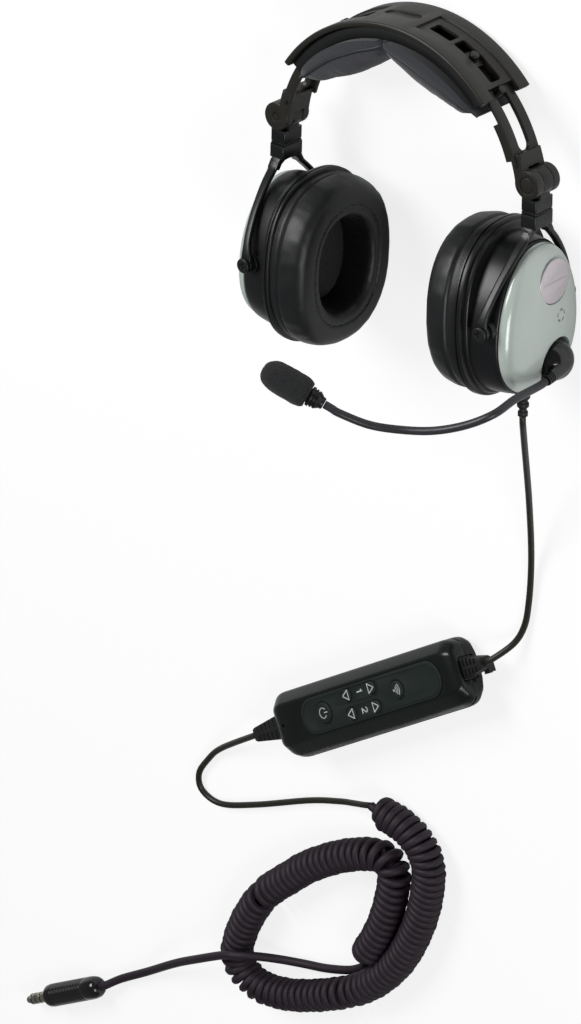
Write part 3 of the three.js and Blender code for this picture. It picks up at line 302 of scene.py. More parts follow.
def toned(name, dark, light, roughness, kind, values, metallic=0.0, weave=None, settings=None, **sockets):
    """A material whose colour runs from dark to light with one texture, in metres or in a UV weave."""
    material, tree, shader = surface(name, dark, roughness, metallic, **sockets)
    if weave:
        place = add(tree, "ShaderNodeUVMap", uv_map=weave).outputs[0]
    else:
        place = add(tree, "ShaderNodeTexCoord").outputs["Object"]
    pattern = add(tree, f"ShaderNodeTex{kind}", values, {"Vector": place}, **(settings or {})).outputs[0]
    tone = add(tree, "ShaderNodeMix", {6: linear(dark), 7: linear(light)}, {0: pattern}, data_type="RGBA")
    tree.links.new(tone.outputs[2], shader.inputs["Base Color"])
    return material, tree, shader, place, pattern


def moulded(name, dark, light, roughness, grain, depth=0.0001, **sockets):
    """Moulded plastic: a spark-eroded grain of so many bumps a metre, and faint wear in its sheen."""
    values = {"Scale": 60.0, "Detail": 5.0, "Roughness": 0.6}
    material, tree, shader, place, wear = toned(name, dark, light, roughness, "Noise", values, **sockets)
    sheen = add(tree, "ShaderNodeMapRange", {3: roughness - 0.05, 4: roughness + 0.07}, {0: wear})
    tree.links.new(sheen.outputs[0], shader.inputs["Roughness"])
    pits = add(tree, "ShaderNodeTexNoise", {"Scale": grain, "Detail": 2.0}, {"Vector": place})
    lift(tree, shader, pits.outputs[0], 0.25, depth)
    return material


bow_nylon = moulded("brown-black satin nylon", "#1b1a17", "#282620", 0.4, 1800.0, IOR=1.5)

half = BAND_W / 2
section = rounded(rect(BAND_R - BAND_T, -half, BAND_R, half), 1.1)
cover = bow(section, -BAND_HALF, BAND_HALF, 90)
cuts = [wrapped([(p.x, p.y) for p in stadium(16.0, SLOT_W - 1.0)], BAND_R - 0.9, BAND_R + 6)]
for s in (-1, 1):
    track = rect(BAND_R - TRACK_DEPTH, -TRACK_W / 2, BAND_R + 9, TRACK_W / 2)
    cuts.append(bow(track, s * 11, s * (BAND_HALF + 3), 36))
    for start, stop in ((14.0, 23.8), (25.5, 45.5)):
        opening = rounded(rect(start, -SLOT_W / 2, stop, SLOT_W / 2), 1.6, 5)
        cuts.append(wrapped([(s * a, z) for a, z in opening], 66, BAND_R + 9))
    cuts.append(wrapped([(s * a, z) for a, z in rect(47.4, -11, 56, 11)], 66, BAND_R + 9))
cover = merged(cover, cuts)
cover_piece = piece("headband_cover_shell", cover, HEAD, bow_nylon, "headband", "headband_cover", edge=0.35)

# -------------------- headband frame
# The sprung inner bow, a black glass-filled channel that the sliders run in. The pad is fixed
# under it, and a peg near each end stops the slider in its window.
LEAF_TOP_R = BAND_R - BAND_T - 0.3
LEAF_LOW_R = LEAF_TOP_R - 2.3
SOLE_R = LEAF_LOW_R - 0.3
FRAME_T, FRAME_W, RAIL_T = 4.0, 34.0, 4.0

frame_nylon = moulded("black glass-filled nylon", "#0e0f10", "#161718", 0.38, 2400.0, IOR=1.53)


def rod(radius, low, high, segments=40, soft=0.0):
    """A rod along Z with softened ends."""
    bm = bmesh.new()
    bmesh.ops.create_cone(
        bm, cap_ends=True, cap_tris=False, segments=segments, radius1=radius, radius2=radius,
        depth=high - low
    )
    bmesh.ops.translate(bm, verts=bm.verts, vec=(0, 0, (low + high) / 2))
    if soft:
        rims = [e for e in bm.edges if len(e.link_faces) == 2 and e.calc_face_angle() > 0.8]
        bmesh.ops.bevel(
            bm, geom=rims, offset=soft, offset_type="OFFSET", segments=3, profile=0.5, affect="EDGES",
            clamp_overlap=True, material=-1
        )
    return bm


def moved(bm, matrix):
    bm.transform(matrix)
    return bm


w, rail = FRAME_W / 2, FRAME_W / 2 - RAIL_T
low = SOLE_R - FRAME_T
channel = rounded(
    [
        (low, -w), (LEAF_TOP_R, -w), (LEAF_TOP_R, -rail), (SOLE_R, -rail), (SOLE_R, rail),
        (LEAF_TOP_R, rail), (LEAF_TOP_R, w), (low, w)
    ],
    0.6, 2
)
inner = bow(channel, -BAND_HALF + 1, BAND_HALF - 1, 80)
pegs = [
    moved(rod(2.2, SOLE_R - 1, BAND_R - 0.4, 24, 0.4), turn("Z", s * 49.2) @ turn("X", -90))
    for s in (-1, 1)
]
piece(
    "headband_channel", merged(inner, pegs, "UNION"), HEAD, frame_nylon, "headband", "headband_frame",
    edge=0.2
)

# -------------------- sliders, studs, hinge pins
# Each slider is a springy leaf moulded in one with its two flanges and the hinge's fork. A long
# window in it passes the frame's peg; its own stud rides in the cover's slot as the stop.
SIDES = {"left": (1, 3.0, 1.0), "right": (-1, -2.0, -3.5)}  # sign, drawn out, folded in
HINGE_X, HINGE_Y = 86.843, 14.222
YAW, BLOCK_DROP = 2.1, 20.0  # each yoke's turn on its stem, and how far it hangs below the pin


def arc_of(side):
    sign, out, _ = SIDES[side]
    return HEAD @ (turn("Y", 180) if sign < 0 else Matrix()) @ turn("Z", -out)


def hinge_of(side):
    return arc_of(side) @ shift(HINGE_X, HINGE_Y, 0) @ turn("Z", -SIDES[side][2])


def yoke_of(side):
    return hinge_of(side) @ shift(0, -BLOCK_DROP, 0) @ turn("Y", YAW * SIDES[side][0])


def slider():
    w = 11.0
    leaf = bow(rounded(rect(LEAF_LOW_R, -w, LEAF_TOP_R, w), 0.5, 2), 27, 73.5, 40)
    flanges = [
        bow(rounded(rect(LEAF_LOW_R - 3.6, z, LEAF_LOW_R + 1, z + 2.2), 0.4, 2), 56.6, 71.5, 14)
        for z in (-w, w - 2.2)
    ]
    neck = bow(rounded(rect(LEAF_LOW_R - 2, -9.5, LEAF_TOP_R + 3, 9.5), 1.4, 4), 69.5, 80.7, 10)
    at = shift(HINGE_X, HINGE_Y, 0)
    body = merged(leaf, [*flanges, neck, moved(rod(8.0, -9.5, 9.5, 48, 0.5), at)], "UNION")
    window = [(a, z) for a, z in ((34.2, 4.5), (34.2, -4.5))]
    window += [(66.5 + 3.06 * sin(radians(t)), -4.5 * cos(radians(t))) for t in range(0, 181, 15)]
    cuts = [
        moved(rod(9.0, -4.3, 4.3, 48), at), moved(rod(2.3, -20, 20, 24), at),
        moved(rod(4.5, 8.2, 12, 40), at),
        wrapped(window, 70, 96),
    ]
    return merged(body, cuts)


for side in SIDES:
    at = arc_of(side)
    leaf_piece = piece(
        f"{side}_slider", slider(), at, bow_nylon, f"{side}_slider", f"{side}_slider_leaf", edge=0.25
    )
    stud = moved(
        rod(2.6, 0, 3.7, 32, 0.8), turn("Z", -30.5) @ turn("X", -90) @ shift(0, 0, LEAF_TOP_R + 0.3)
    )
    piece(f"{side}_stop_stud", stud, at, frame_nylon, f"{side}_slider", f"{side}_detent_stud")
    pin = merged(rod(4.2, 8.5, 9.4, 40, 0.25), [rod(2.0, -9.5, 8.8, 24)], "UNION")
    piece(
        f"{side}_fold_pin", pin, arc_of(side) @ shift(HINGE_X, HINGE_Y, 0), bow_nylon, f"{side}_slider",
        f"{side}_hinge_pin"
    )

# -------------------- swivel blocks
# A black moulded acetal block that folds on the pin, with a groove round its foot; the yoke's
# stem turns in it.
acetal = moulded("black acetal", "#0c0d0e", "#141517", 0.3, 1500.0, IOR=1.48)
for side in SIDES:
    eye = rod(8.0, -4.0, 4.0, 48, 0.4)
    web = slab([(-5, -11), (5, -11), (6, 0), (-6, 0)], -4.0, 4.0)
    body = slab(rounded(rect(-5, -7.5, 5, 7.5), 1.0), -17.0, -8.6, (0, 2, 1))
    block = merged(eye, [web, body], "UNION")
    groove = slab(rect(-7, -9, 7, 9), -16.3, -15.5, (0, 2, 1))
    hollow = slab(rect(-4.4, -6.9, 4.4, 6.9), -16.5, -15.3, (0, 2, 1))
    block = merged(block, [merged(groove, [hollow]), rod(2.3, -12, 12, 24)])
    piece(
        f"{side}_block", block, hinge_of(side), acetal, f"{side}_block", f"{side}_swivel_block", edge=0.25
    )

# -------------------- yokes
# A thin forked moulding in satin polycarbonate: a square head under the block, an arch, and two
# straps that sweep round the shell to round eyes, where cross-head screws hold the cup.
PIVOT_IN, ARM_DROP, ARM_Z = 7.0, 57.0, 38.0
PIVOT_CUP = HINGE_X - PIVOT_IN - 39.5  # from the cup's origin out to its pivots
satin = moulded("black satin polycarbonate", "#0d0e0f", "#151618", 0.33, 2000.0, IOR=1.5)


def through(points, step):
    """Points about a step apart along a smooth line through the given ones."""
    points = [Vector(p) for p in points]
    line = []
    for i in range(len(points) - 1):
        a, b = points[i], points[i + 1]
        before = points[i - 1] if i else a * 2 - b
        after = points[i + 2] if i + 2 < len(points) else b * 2 - a
        pieces = max(1, round((b - a).length / step))
        for k in range(pieces):
            t = k / pieces
            line.append(
                0.5 * (2 * a + (b - before) * t + (2 * before - 5 * a + 4 * b - after) * t * t
                       + (3 * a - before - 3 * b + after) * t ** 3)
            )
    return line + [points[-1]]


def heading(line, i, reach=1):
    """Which way a line runs at its i-th point."""
    return (line[min(i + reach, len(line) - 1)] - line[max(i - reach, 0)]).normalized()


def cross(width, thick, at, along, out):
    """A rounded strap section at a point."""
    across = out.cross(along).normalized()
    outward = along.cross(across).normalized()
    outline = rounded(rect(-width / 2, -thick / 2, width / 2, thick / 2), thick * 0.42)
    return [at + across * p.x + outward * p.y for p in outline]


def strap(s):
    points = [
        (0, -7, 8.6), (0, -10.5, 10.6), (-1, -18.2, 18.2), (-2.9, -29.6, 27.4), (-5.2, -42.2, 35),
        (-7, -51.3, 38), (-7, -57, 38)
    ]
    line = through([(x, y, z * s) for x, y, z in points], 1.5)
    rings = []
    for i, p in enumerate(line):
        share = i / (len(line) - 1)
        wide = 5.8 - 1.2 * min(1, share * 2) + 3.2 * max(0, share - 0.8) / 0.2
        rings.append(cross(wide, 2.7, p, heading(line, i), Vector((0.0, 0.3, s))))
    return loft(rings)


for side in SIDES:
    drop = -6.0  # the top of the arch, below the head
    half_arch = [
        (0, drop), (4, drop - 0.5), (6.6, drop - 2.2), (8.6, drop - 5.2), (11.6, drop - 4.2),
        (9.6, drop - 0.5), (8, 1.2 + drop), (8, 0)
    ]
    outline = half_arch + [(-z, y) for z, y in half_arch[:0:-1]]
    head = slab(outline, -3.0, 3.0, (2, 1, 0))
    cap = slab(rounded(rect(-5, -8, 5, 8), 1.0), -5.0, 2.6, (0, 2, 1))
    stem = moved(rod(3.5, -1, 5, 24), turn("X", -90))
    eyes = [moved(rod(4.6, -1.5, 1.5, 40, 0.4), shift(-PIVOT_IN, -ARM_DROP, s * ARM_Z)) for s in (-1, 1)]
    fork = merged(cap, [head, stem, strap(1), strap(-1), *eyes], "UNION")
    bores = [moved(rod(2.7, -4, 4, 24), shift(-PIVOT_IN, -ARM_DROP, s * ARM_Z)) for s in (-1, 1)]
    piece(
        f"{side}_fork", merged(fork, bores), yoke_of(side), satin, f"{side}_yoke_body", f"{side}_yoke",
        edge=0.3
    )

# -------------------- ear seals
# Gel-filled ear seals with a soft black leatherette skin. A row of stitches holds the skin's
# inner wall to its face, and a welt by the flange closes it; the skin gathers a little there.
CUSHION_T, FLANGE_X, SHELL_X = 22.0, 22.3, 27.3
SEAL_HOLE, SEAL_OUTSIDE = (54, 39), (97, 80)
SEAM_AT, SEAL_MIDDLE, SEAL_WIDTH = 7.2, 10.3, 20.7  # all measured outward from the hole
SHELL_T, SHELL_H, SHELL_W = 19.5, 90.0, 69.0
FLANGE_H, FLANGE_W = 100.0, 81.0


def cup_of(side):
    return yoke_of(side) @ shift(-PIVOT_IN - PIVOT_CUP, -ARM_DROP, 0)


def oval(height, width, power=2.3, egg=0.0, count=128):
    """(up, front) points of a squarish oval, narrower at the top by its egg share."""
    out = []
    for i in range(count):
        c, s = cos(tau * i / count), sin(tau * i / count)
        y = height / 2 * copysign(abs(s) ** (2 / power), s)
        z = width / 2 * copysign(abs(c) ** (2 / power), c)
        out.append((y, z * (1 - egg * y / height)))
    return out


def ring(x, outline, up=0.0):
    return [Vector((x, y + up, z)) for y, z in outline]


def smooth_profile(points, step=0.6):
    return [(p.x, p.y) for p in through([(*p, 0) for p in points], step)]


leatherette = moulded(
    "black leatherette", "#0f1011", "#191a1c", 0.42, 1300.0, 0.0003, Sheen_Weight=0.08, Sheen_Roughness=0.4
)


def ear_seal(seed):
    inner, outer = (oval(*size, count=160) for size in (SEAL_HOLE, SEAL_OUTSIDE))
    profile = smooth_profile(
        [
            (1.0, 0), (0.6, 9), (1.2, 17.5), (3.2, 20.9), (6.8, 21.8), (11.0, 21.9), (15.4, 21.0),
            (18.6, 18.0), (20.1, 12.6), (20.6, 7.4), (19.9, 5.4), (20.2, 3.2), (19.9, 0)
        ]
    )
    rings = []
    for across, high in profile:
        seam = exp(-(((across - SEAM_AT) / 0.55) ** 2)) if high > 15 else 0.0
        weld = exp(-(((high - 5.3) / 0.5) ** 2)) if across > 15 else 0.0
        rows = []
        for i, ((y0, z0), (y1, z1)) in enumerate(zip(inner, outer)):
            s = across / SEAL_WIDTH
            p = Vector((CUSHION_T - high, y0 + (y1 - y0) * s, z0 + (z1 - z0) * s))
            a = tau * i / 160
            slack = 0.8 if 8 < high < 20 else 0.4
            fold = noise.noise(Vector((9 * cos(a) + seed, 9 * sin(a), high * 0.09))) * slack
            near_seam = exp(-(((across - SEAM_AT) / 2.2) ** 2))
            gather = sin(a * 46 + 2 * sin(a * 5)) * near_seam * 0.14 * (high > 15)
            p.x += 0.75 * seam + gather
            out_y, out_z = y1 - y0, z1 - z0
            reach = hypot(out_y, out_z)
            facing = min(1.0, abs(across - SEAL_MIDDLE) / 8) * (1 if across > SEAL_MIDDLE else -1)
            side_on = (0.45 * fold - 0.5 * weld) * facing
            p.y += out_y / reach * side_on
            p.z += out_z / reach * side_on
            rows.append(p)
        rings.append(rows)
    return loft(rings, hoop=True)


for side in SIDES:
    seal = piece(
        f"{side}_ear_seal", ear_seal(3.0 if side == "left" else 8.0), cup_of(side), leatherette,
        f"{side}_cup", f"{side}_ear_cushion", sharp=60
    )

# Waxed thread, one stitch every 3 mm, sunk in the seam of each ear seal.
thread = moulded("black waxed thread", "#26272a", "#333438", 0.5, 4000.0, 0.00005)
for side in SIDES:
    stitches = bmesh.new()
    line = oval(54 + 2 * SEAM_AT * 43 / 41.4, 39 + 2 * SEAM_AT * 41 / 41.4, count=400)
    walked = 0.0
    for i in range(400):
        (y0, z0), (y1, z1) = line[i], line[(i + 1) % 400]
        walked += hypot(y1 - y0, z1 - z0)
        if walked >= 3.0:
            walked = 0.0
            a = atan2(z1 - z0, y1 - y0)
            at = shift(CUSHION_T - 21.25, y0, z0) @ Matrix.Rotation(a, 4, "X")
            at = at @ Matrix.Diagonal((0.3, 1.05, 0.35, 1))
            bmesh.ops.create_uvsphere(stitches, u_segments=8, v_segments=6, radius=1.0, matrix=at)
    piece(f"{side}_seal_stitches", stitches, cup_of(side), thread, f"{side}_cup", sharp=180)

# -------------------- cup shells
# Deep black shells moulded in satin polycarbonate. A flange with two fine rims carries the ear seal; a
# step runs round behind it, and low bosses on the sides take the yoke's screws.
EGG = 0.26


def share(x):
    return 1 - 0.04 * max(0.0, (x - SHELL_X) / SHELL_T) ** 2.2


def shell_ring(x, less=0.0, drop=-1.0):
    return ring(x, oval(SHELL_H * share(x) - less, SHELL_W * share(x) - less, 2.15, EGG), drop)


def along_x(radius, x0, x1, y, z, narrow=1.0, segments=48, soft=0.0):
    return moved(
        rod(radius, x0, x1, segments, soft),
        shift(0, y, z) @ Matrix.Diagonal((1, 1, narrow, 1)) @ turn("Y", 90)
    )


def pivot(s):
    """The cup's front or rear pivot."""
    return shift(PIVOT_CUP, 0, 0) @ turn("Y", 0 if s > 0 else 180)


BOOM_UP, BOOM_FRONT = -27.5, -9.0
END_X = SHELL_X + SHELL_T
COVER_X = END_X + 0.3


def boom_seat():
    return along_x(13.8, END_X - 2, COVER_X + 30, BOOM_UP, BOOM_FRONT, segments=64)


def cup_shell(sign):
    flange = [
        (FLANGE_X, -1.0), (FLANGE_X + 0.5, 0), (24.0, 0), (24.2, -0.9), (24.9, -0.9), (25.1, 0),
        (26.9, -0.3), (27.3, -1.0)
    ]
    rings = [ring(x, oval(FLANGE_H + 2 * d, FLANGE_W + 2 * d)) for x, d in flange]
    step = ((27.3, 0.0), (28.9, 0.0), (29.6, -0.5), (29.8, -1.0))
    rings += [ring(x, oval(SHELL_H + 6 + 2 * d, SHELL_W + 6 + 2 * d)) for x, d in step]
    rings += [shell_ring(x) for x in (29.8, 31, 33, 35.5, 38, 40.5, 43, 45)]
    rings += [shell_ring(46.0, 0.3), shell_ring(46.6, 1.0), shell_ring(46.8, 2.2)]
    body = loft(rings)
    bosses = [moved(rod(6.0, 30.0, 36.2, 48, 0.4), pivot(s)) for s in (1, -1)]
    body = merged(body, bosses, "UNION")
    cuts = [
        loft([shell_ring(x, 6.0) for x in (21.0, 35.0, 43.8)]),
        loft([ring(x, oval(90, 69)) for x in (21.0, 25.1)])
    ]
    cuts += [moved(rod(2.7, 31.6, 40, 24), pivot(s)) for s in (1, -1)]
    if sign > 0:
        at = SHELL_X + SHELL_T * 0.75
        cuts.append(boom_seat())
        low_edge = shift(at, -SHELL_H / 2 * share(at) + 1.5, 2)
        cuts.append(moved(rod(4.7, -8, 12, 32), low_edge @ turn("X", 90)))
    return merged(body, cuts)


for side, (sign, _, _) in SIDES.items():
    piece(
        f"{side}_shell", cup_shell(sign), cup_of(side), satin, f"{side}_cup", f"{side}_cup_shell", edge=0.2,
        sharp=38
    )

# -------------------- cup covers
# Egg-shaped caps in a pale green pearl lacquer under clear coat, moulded in ABS. Each has a
# seat for the round badge and a ring of five slits, the port of the noise microphone.
pearl, tree, shader, place, _ = toned(
    "pale green pearl lacquer", "#bfccc4", "#d3ddd6", 0.26, "Noise", {"Scale": 25.0, "Detail": 2.0}, 0.08,
    Coat_Weight=0.8, Coat_Roughness=0.06, IOR=1.5,
)
under = shader.inputs["Base Color"].links[0].from_socket
flakes = add(tree, "ShaderNodeTexVoronoi", {"Scale": 5000.0}, {"Vector": place})
glint = add(
    tree, "ShaderNodeMix", {0: 0.12}, {6: under, 7: flakes.outputs["Color"]}, data_type="RGBA",
    blend_type="SOFT_LIGHT"
)
tree.links.new(glint.outputs[2], shader.inputs["Base Color"])
orange_peel = add(tree, "ShaderNodeTexNoise", {"Scale": 300.0}, {"Vector": place})
lift(tree, shader, orange_peel.outputs[0], 0.05, 0.0002)

DOME = 10.0
BADGE_X = COVER_X + DOME * 0.86
BADGE_Y, BADGE_Z = 20.0, -5.0


def slit(middle, spread, r0, r1, x0, x1, y, z):
    """A short curved slit, cut along X."""
    turns = [radians(middle + spread * (k / 8 - 0.5)) for k in range(9)]
    outline = [(r1, a) for a in turns] + [(r0, a) for a in turns[::-1]]
    return loft([[Vector((x, y + r * sin(a), z + r * cos(a))) for r, a in outline] for x in (x0, x1)])


def cup_cover(sign):
    profile = [(0.988, 0.0), (1, 0.3), (1, 1.4)]
    profile += [
        (cos(radians(a)) ** 0.9, 1.4 + 9.0 * sin(radians(a)) ** 0.8)
        for a in (3, 8, 14, 20, 26, 32, 38, 44, 50, 56, 62, 68, 74, 80, 86, 89)
    ]
    body = loft([ring(COVER_X + h, oval(84 * s, 65 * s, 2.15, EGG), -1) for s, h in profile])
    cuts = [along_x(12.8, BADGE_X - 1.4, BADGE_X + 31, BADGE_Y, BADGE_Z * sign, 1.04, 96)]
    cuts += [slit(72 * k + 18, 50, 2.7, 3.8, COVER_X + 3, COVER_X + 20, -1, -10.4 * sign) for k in range(5)]
    if sign > 0:
        cuts.append(boom_seat())
    return merged(body, cuts)


for side, (sign, _, _) in SIDES.items():
    cap = piece(
        f"{side}_cover", cup_cover(sign), cup_of(side), pearl, f"{side}_cup", f"{side}_cup_cover",
        edge=0.15, sharp=40
    )

# -------------------- badges
# A round badge of satin anodised aluminium, bare but for one fine line across. It is glued
# into its seat in the cover.
anodised = toned(
    "satin anodised aluminium", "#d6cdd2", "#e8e0e4", 0.3, "Noise", {"Scale": 900.0, "Detail": 3.0}, 0.55
)[0]
for side, (sign, _, _) in SIDES.items():
    disc = along_x(12.5, BADGE_X - 1.1, BADGE_X + 0.8, BADGE_Y, BADGE_Z * sign, 1.04, 96, 0.5)
    groove = rect(BADGE_Y - 0.25, BADGE_Z * sign - 10, BADGE_Y + 0.25, BADGE_Z * sign + 10)
    line = slab(groove, BADGE_X + 0.5, BADGE_X + 3, (2, 0, 1))
    badge = piece(
        f"{side}_badge", merged(disc, [line]), cup_of(side), anodised, f"{side}_cup", f"{side}_badge_plate",
        sharp=40
    )

# -------------------- yoke screws
# Pan-head cross screws, blackened like the frame. They go through the fork's eyes into the
# shell's bosses and are the cup's pivots.
for side, (sign, _, _) in SIDES.items():
    for s in (1, -1):
        end = "front" if s == sign else "rear"
        screw = merged(rod(4.2, 39.8, 41.6, 40, 0.6), [rod(2.4, 32.4, 40.5, 24)], "UNION")
        arms = [slab(rect(-a, -b, a, b), 40.6, 43) for a, b in ((2.0, 0.45), (0.45, 2.0))]
        screw = merged(screw, arms)
        piece(f"{side}_screw_{end}", screw, cup_of(side) @ pivot(s), frame_nylon,
              f"{side}_cup", f"{side}_yoke_screw_{end}", edge=0.12, sharp=40)

# -------------------- boom joint
# The microphone boom turns in a round seat in the left cover: a thin flange, and on it a domed
# knob in gloss black ABS that narrows into a short arm with a ribbed collar.


def spun(profile, segments=64):
    """A solid of revolution about Z from (radius, height) points."""
    turns = [tau * i / segments for i in range(segments)]
    profile = [(max(r, 0.01), z) for r, z in profile]
    return loft([[Vector((r * cos(a), r * sin(a), z)) for a in turns] for r, z in profile])


def aimed(start, end):
    """Places what lies along Z from start toward end."""
    start, end = Vector(start), Vector(end)
    return Matrix.Translation(start) @ (end - start).to_track_quat("Z", "Y").to_matrix().to_4x4()


gloss = moulded(
    "gloss black ABS", "#0b0b0c", "#121213", 0.16, 300.0, 0.00005, Coat_Weight=0.5, Coat_Roughness=0.08
)
BOOM = cup_of("left") @ shift(0, BOOM_UP, BOOM_FRONT)
KNOB_SIDE, NECK = (61.3, -1.0, 1.6), (61.3, -4.4, 18.0)  # the arm runs from one to the other

low = END_X - 1.7
flange = spun(
    [
        (0, low), (13.0, low), (13.5, low + 0.4), (13.5, low + 2.6), (13.1, low + 3.2), (12.4, low + 3.5),
        (0, low + 3.5)
    ],
    96
)
piece("boom_flange", moved(flange, turn("Y", 90)), BOOM, gloss, "boom", "boom_base")

foot = END_X + 2.1
dome = [(0, foot), (11.2, foot), (11.5, foot + 0.4), (11.5, foot + 3.5)]
turns = [radians(a) for a in range(6, 90, 6)]
dome += [(11.5 * cos(a) ** 0.72, foot + 3.5 + 11.5 * sin(a)) for a in turns] + [(0, foot + 15)]
reach = 16.75
arm = [(0, -3.5), (3.4, -3.0), (4.2, 0), (4.1, reach * 0.35), (3.7, reach * 0.62)]
for k in range(4):
    z = reach * 0.66 + k * 1.35
    arm += [
        (3.55 - 0.1 * k, z), (3.6 - 0.1 * k, z + 0.65), (3.1 - 0.1 * k, z + 0.8), (3.1 - 0.1 * k, z + 1.25)
    ]
arm += [(3.0, reach - 0.3), (0, reach - 0.3)]
knob = merged(
    moved(spun(smooth_profile(dome[:4], 0.7) + dome[4:], 80), turn("Y", 90)),
    [moved(spun(arm, 48), aimed(KNOB_SIDE, NECK))], "UNION"
)
piece("boom_knob", knob, BOOM, gloss, "boom", "boom_elbow", sharp=50)

# -------------------- gooseneck
# A flexible steel gooseneck, 4.6 mm thick, under a smooth satin coat that shows its windings.
# It goes from the knob's arm to the microphone's holder and stays as it is bent.
coat = moulded("satin grey-black vinyl coat", "#2c2c30", "#3a3a3f", 0.34, 2500.0, 0.00008)


def circle(middle, across, other, radius, count):
    """Points round a middle, in the plane of two directions."""
    turns = [tau * k / count for k in range(count)]
    return [middle + across * (radius * cos(a)) + other * (radius * sin(a)) for a in turns]


MIC = Vector((-22.3, -11.2, 103.0))
FOAM_END = Vector((-50.8, 5.6, 116.9))
to_foam = (FOAM_END - MIC).normalized()
from_knob = (Vector(NECK) - Vector(KNOB_SIDE)).normalized()
route = [Vector(NECK), Vector(NECK) + from_knob * 4.6]
route += [
    (63, -4.3, 46.8), (60.6, -8.3, 62.7), (47.2, -16, 69.9), (29.7, -22, 75.7), (11.9, -24.2, 81.5),
    (-2, -22.2, 90.0)
]
route += [MIC - to_foam * 10, MIC - to_foam * 4.9, MIC - to_foam * 0.3]
line = through(route, 0.6)
rings = []
across = Vector((1, 0, 0))
for i, p in enumerate(line):
    along = heading(line, i)
    across = (across - along * across.dot(along)).normalized()
    other = along.cross(across)
    radius = 2.3 - 0.07 * (i % 2)
    rings.append(circle(p, across, other, radius, 24))
piece("boom_gooseneck", loft(rings), BOOM, coat, "boom", "gooseneck", sharp=60)

# -------------------- microphone
# A ribbed black holder on the gooseneck's end, moulded in polycarbonate, and an open-cell foam
# windscreen pulled over it.
microphone = BOOM @ aimed(MIC, FOAM_END)
holder = [
    (0, 0), (2.9, 0), (3.3, 0.5), (3.4, 1.6), (4.4, 3.0), (5.1, 4.0), (5.1, 4.9), (4.6, 5.0), (4.6, 5.5),
    (5.3, 5.6), (5.3, 6.6), (4.8, 6.7), (4.8, 7.2)
]
holder += [(5.6, 7.3), (5.6, 8.7), (5.2, 9.0), (4.0, 9.3), (4.0, 29), (0, 29)]
piece("mic_holder_ribs", spun(holder, 56), microphone, satin, "boom", "mic_holder", edge=0.08, sharp=25)

windscreen_foam, tree, shader, _, cells = toned(
    "dark grey open-cell foam", "#0c0d0e", "#242527", 0.95, "Voronoi", {"Scale": 1100.0, "Randomness": 1.0},
    Sheen_Weight=0.1, Sheen_Roughness=0.6,
)
lift(tree, shader, cells, 0.8, 0.0004)
sleeve = smooth_profile(
    [
        (6.9, 9.5), (8.0, 11.5), (8.5, 15.0), (8.6, 22.0), (8.5, 27.0), (7.7, 32.0), (6.0, 35.2),
        (3.4, 37.2), (0.0, 37.8)
    ],
    0.5
)
foam = spun([(4.4, 9.5)] + sleeve, 72)
for v in foam.verts:
    out = Vector((v.co.x, v.co.y, 0.0))
    if out.length > 4.5:
        swell = out.normalized() * 0.22 * noise.noise(v.co * 0.35)
        v.co += swell + Vector((0, 0, 0.15 * noise.noise(v.co * 0.5)))
soft = piece("foam_windscreen", foam, microphone, windscreen_foam, "boom", "windscreen", sharp=80)

# -------------------- cup strain relief
# A moulded rubber sleeve with a flange and three rings. It is set in the left shell's lower
# edge and keeps the thin cord from bending sharply.
rubber = moulded("black moulded rubber", "#131313", "#1c1c1c", 0.5, 1600.0, 0.0001)


def relief(length, radius, rings):
    """A tapered sleeve with rings, lying along Z."""
    tip = 2.8
    pitch = (length - 3) / rings
    profile = [(0, 0), (radius - 0.3, 0), (radius, 0.3), (radius, 2.7), (radius - 0.3, 3)]
    for i in range(rings):
        z = 3 + i * pitch
        r = radius + (tip - radius) * (i + 1) / rings
        profile += [
            (r - 0.7, z + 0.15 * pitch), (r - 0.7, z + 0.42 * pitch), (r - 0.1, z + 0.5 * pitch),
            (r, z + 0.6 * pitch), (r, z + 0.86 * pitch), (r - 0.2, z + 0.95 * pitch)
        ]
    return spun(profile + [(tip, length), (0, length)], 48)


at = SHELL_X + SHELL_T * 0.75
sleeve = moved(relief(18.0, 4.4, 3), shift(at, -SHELL_H / 2 * share(at) + 2.5, 2) @ turn("X", 90))
piece("cup_relief", sleeve, cup_of("left"), rubber, "left_cup", "cup_strain_relief", sharp=40)

# -------------------- control module
# A slim two-part case in textured black PC/ABS that rests rolled on its belly. Wide chamfers run
# beside the keypad, the ends draw in, and a fine joint line runs round at half height.
MODULE = shift(-0.0596, -0.205, 0.002315) @ turn("Z", 27.5) @ turn("X", -16) @ Matrix.Scale(0.001, 4)
MODULE_END, MODULE_SIDE, SPLIT = 84, 19, 12.0  # half the length, half the width, the joint line
DRAWN_L, DRAWN, PORT_Z = 11, 6.0, 12.15  # the ends draw in over this length by this much; the cords' height
KEYPAD_AT, KEYPAD_L, KEYPAD_W = 8.5, 128.0, 22.0
BELLY, RISE = 8.4, 7.6 * tan(radians(16))
KEYS = [
    ("key_power", -43, 0, 6.4), ("key_1_down", -19, 5.6, 3.9), ("key_1_up", 3.5, 5.6, 3.9),
    ("key_2_down", -19, -5.6, 3.9), ("key_2_up", 3.5, -5.6, 3.9), ("key_wireless", 25, 0, 5.4),
]
case_plastic = moulded("black textured PC/ABS", "#080b0a", "#101413", 0.24, 1500.0, 0.0003, IOR=1.5)


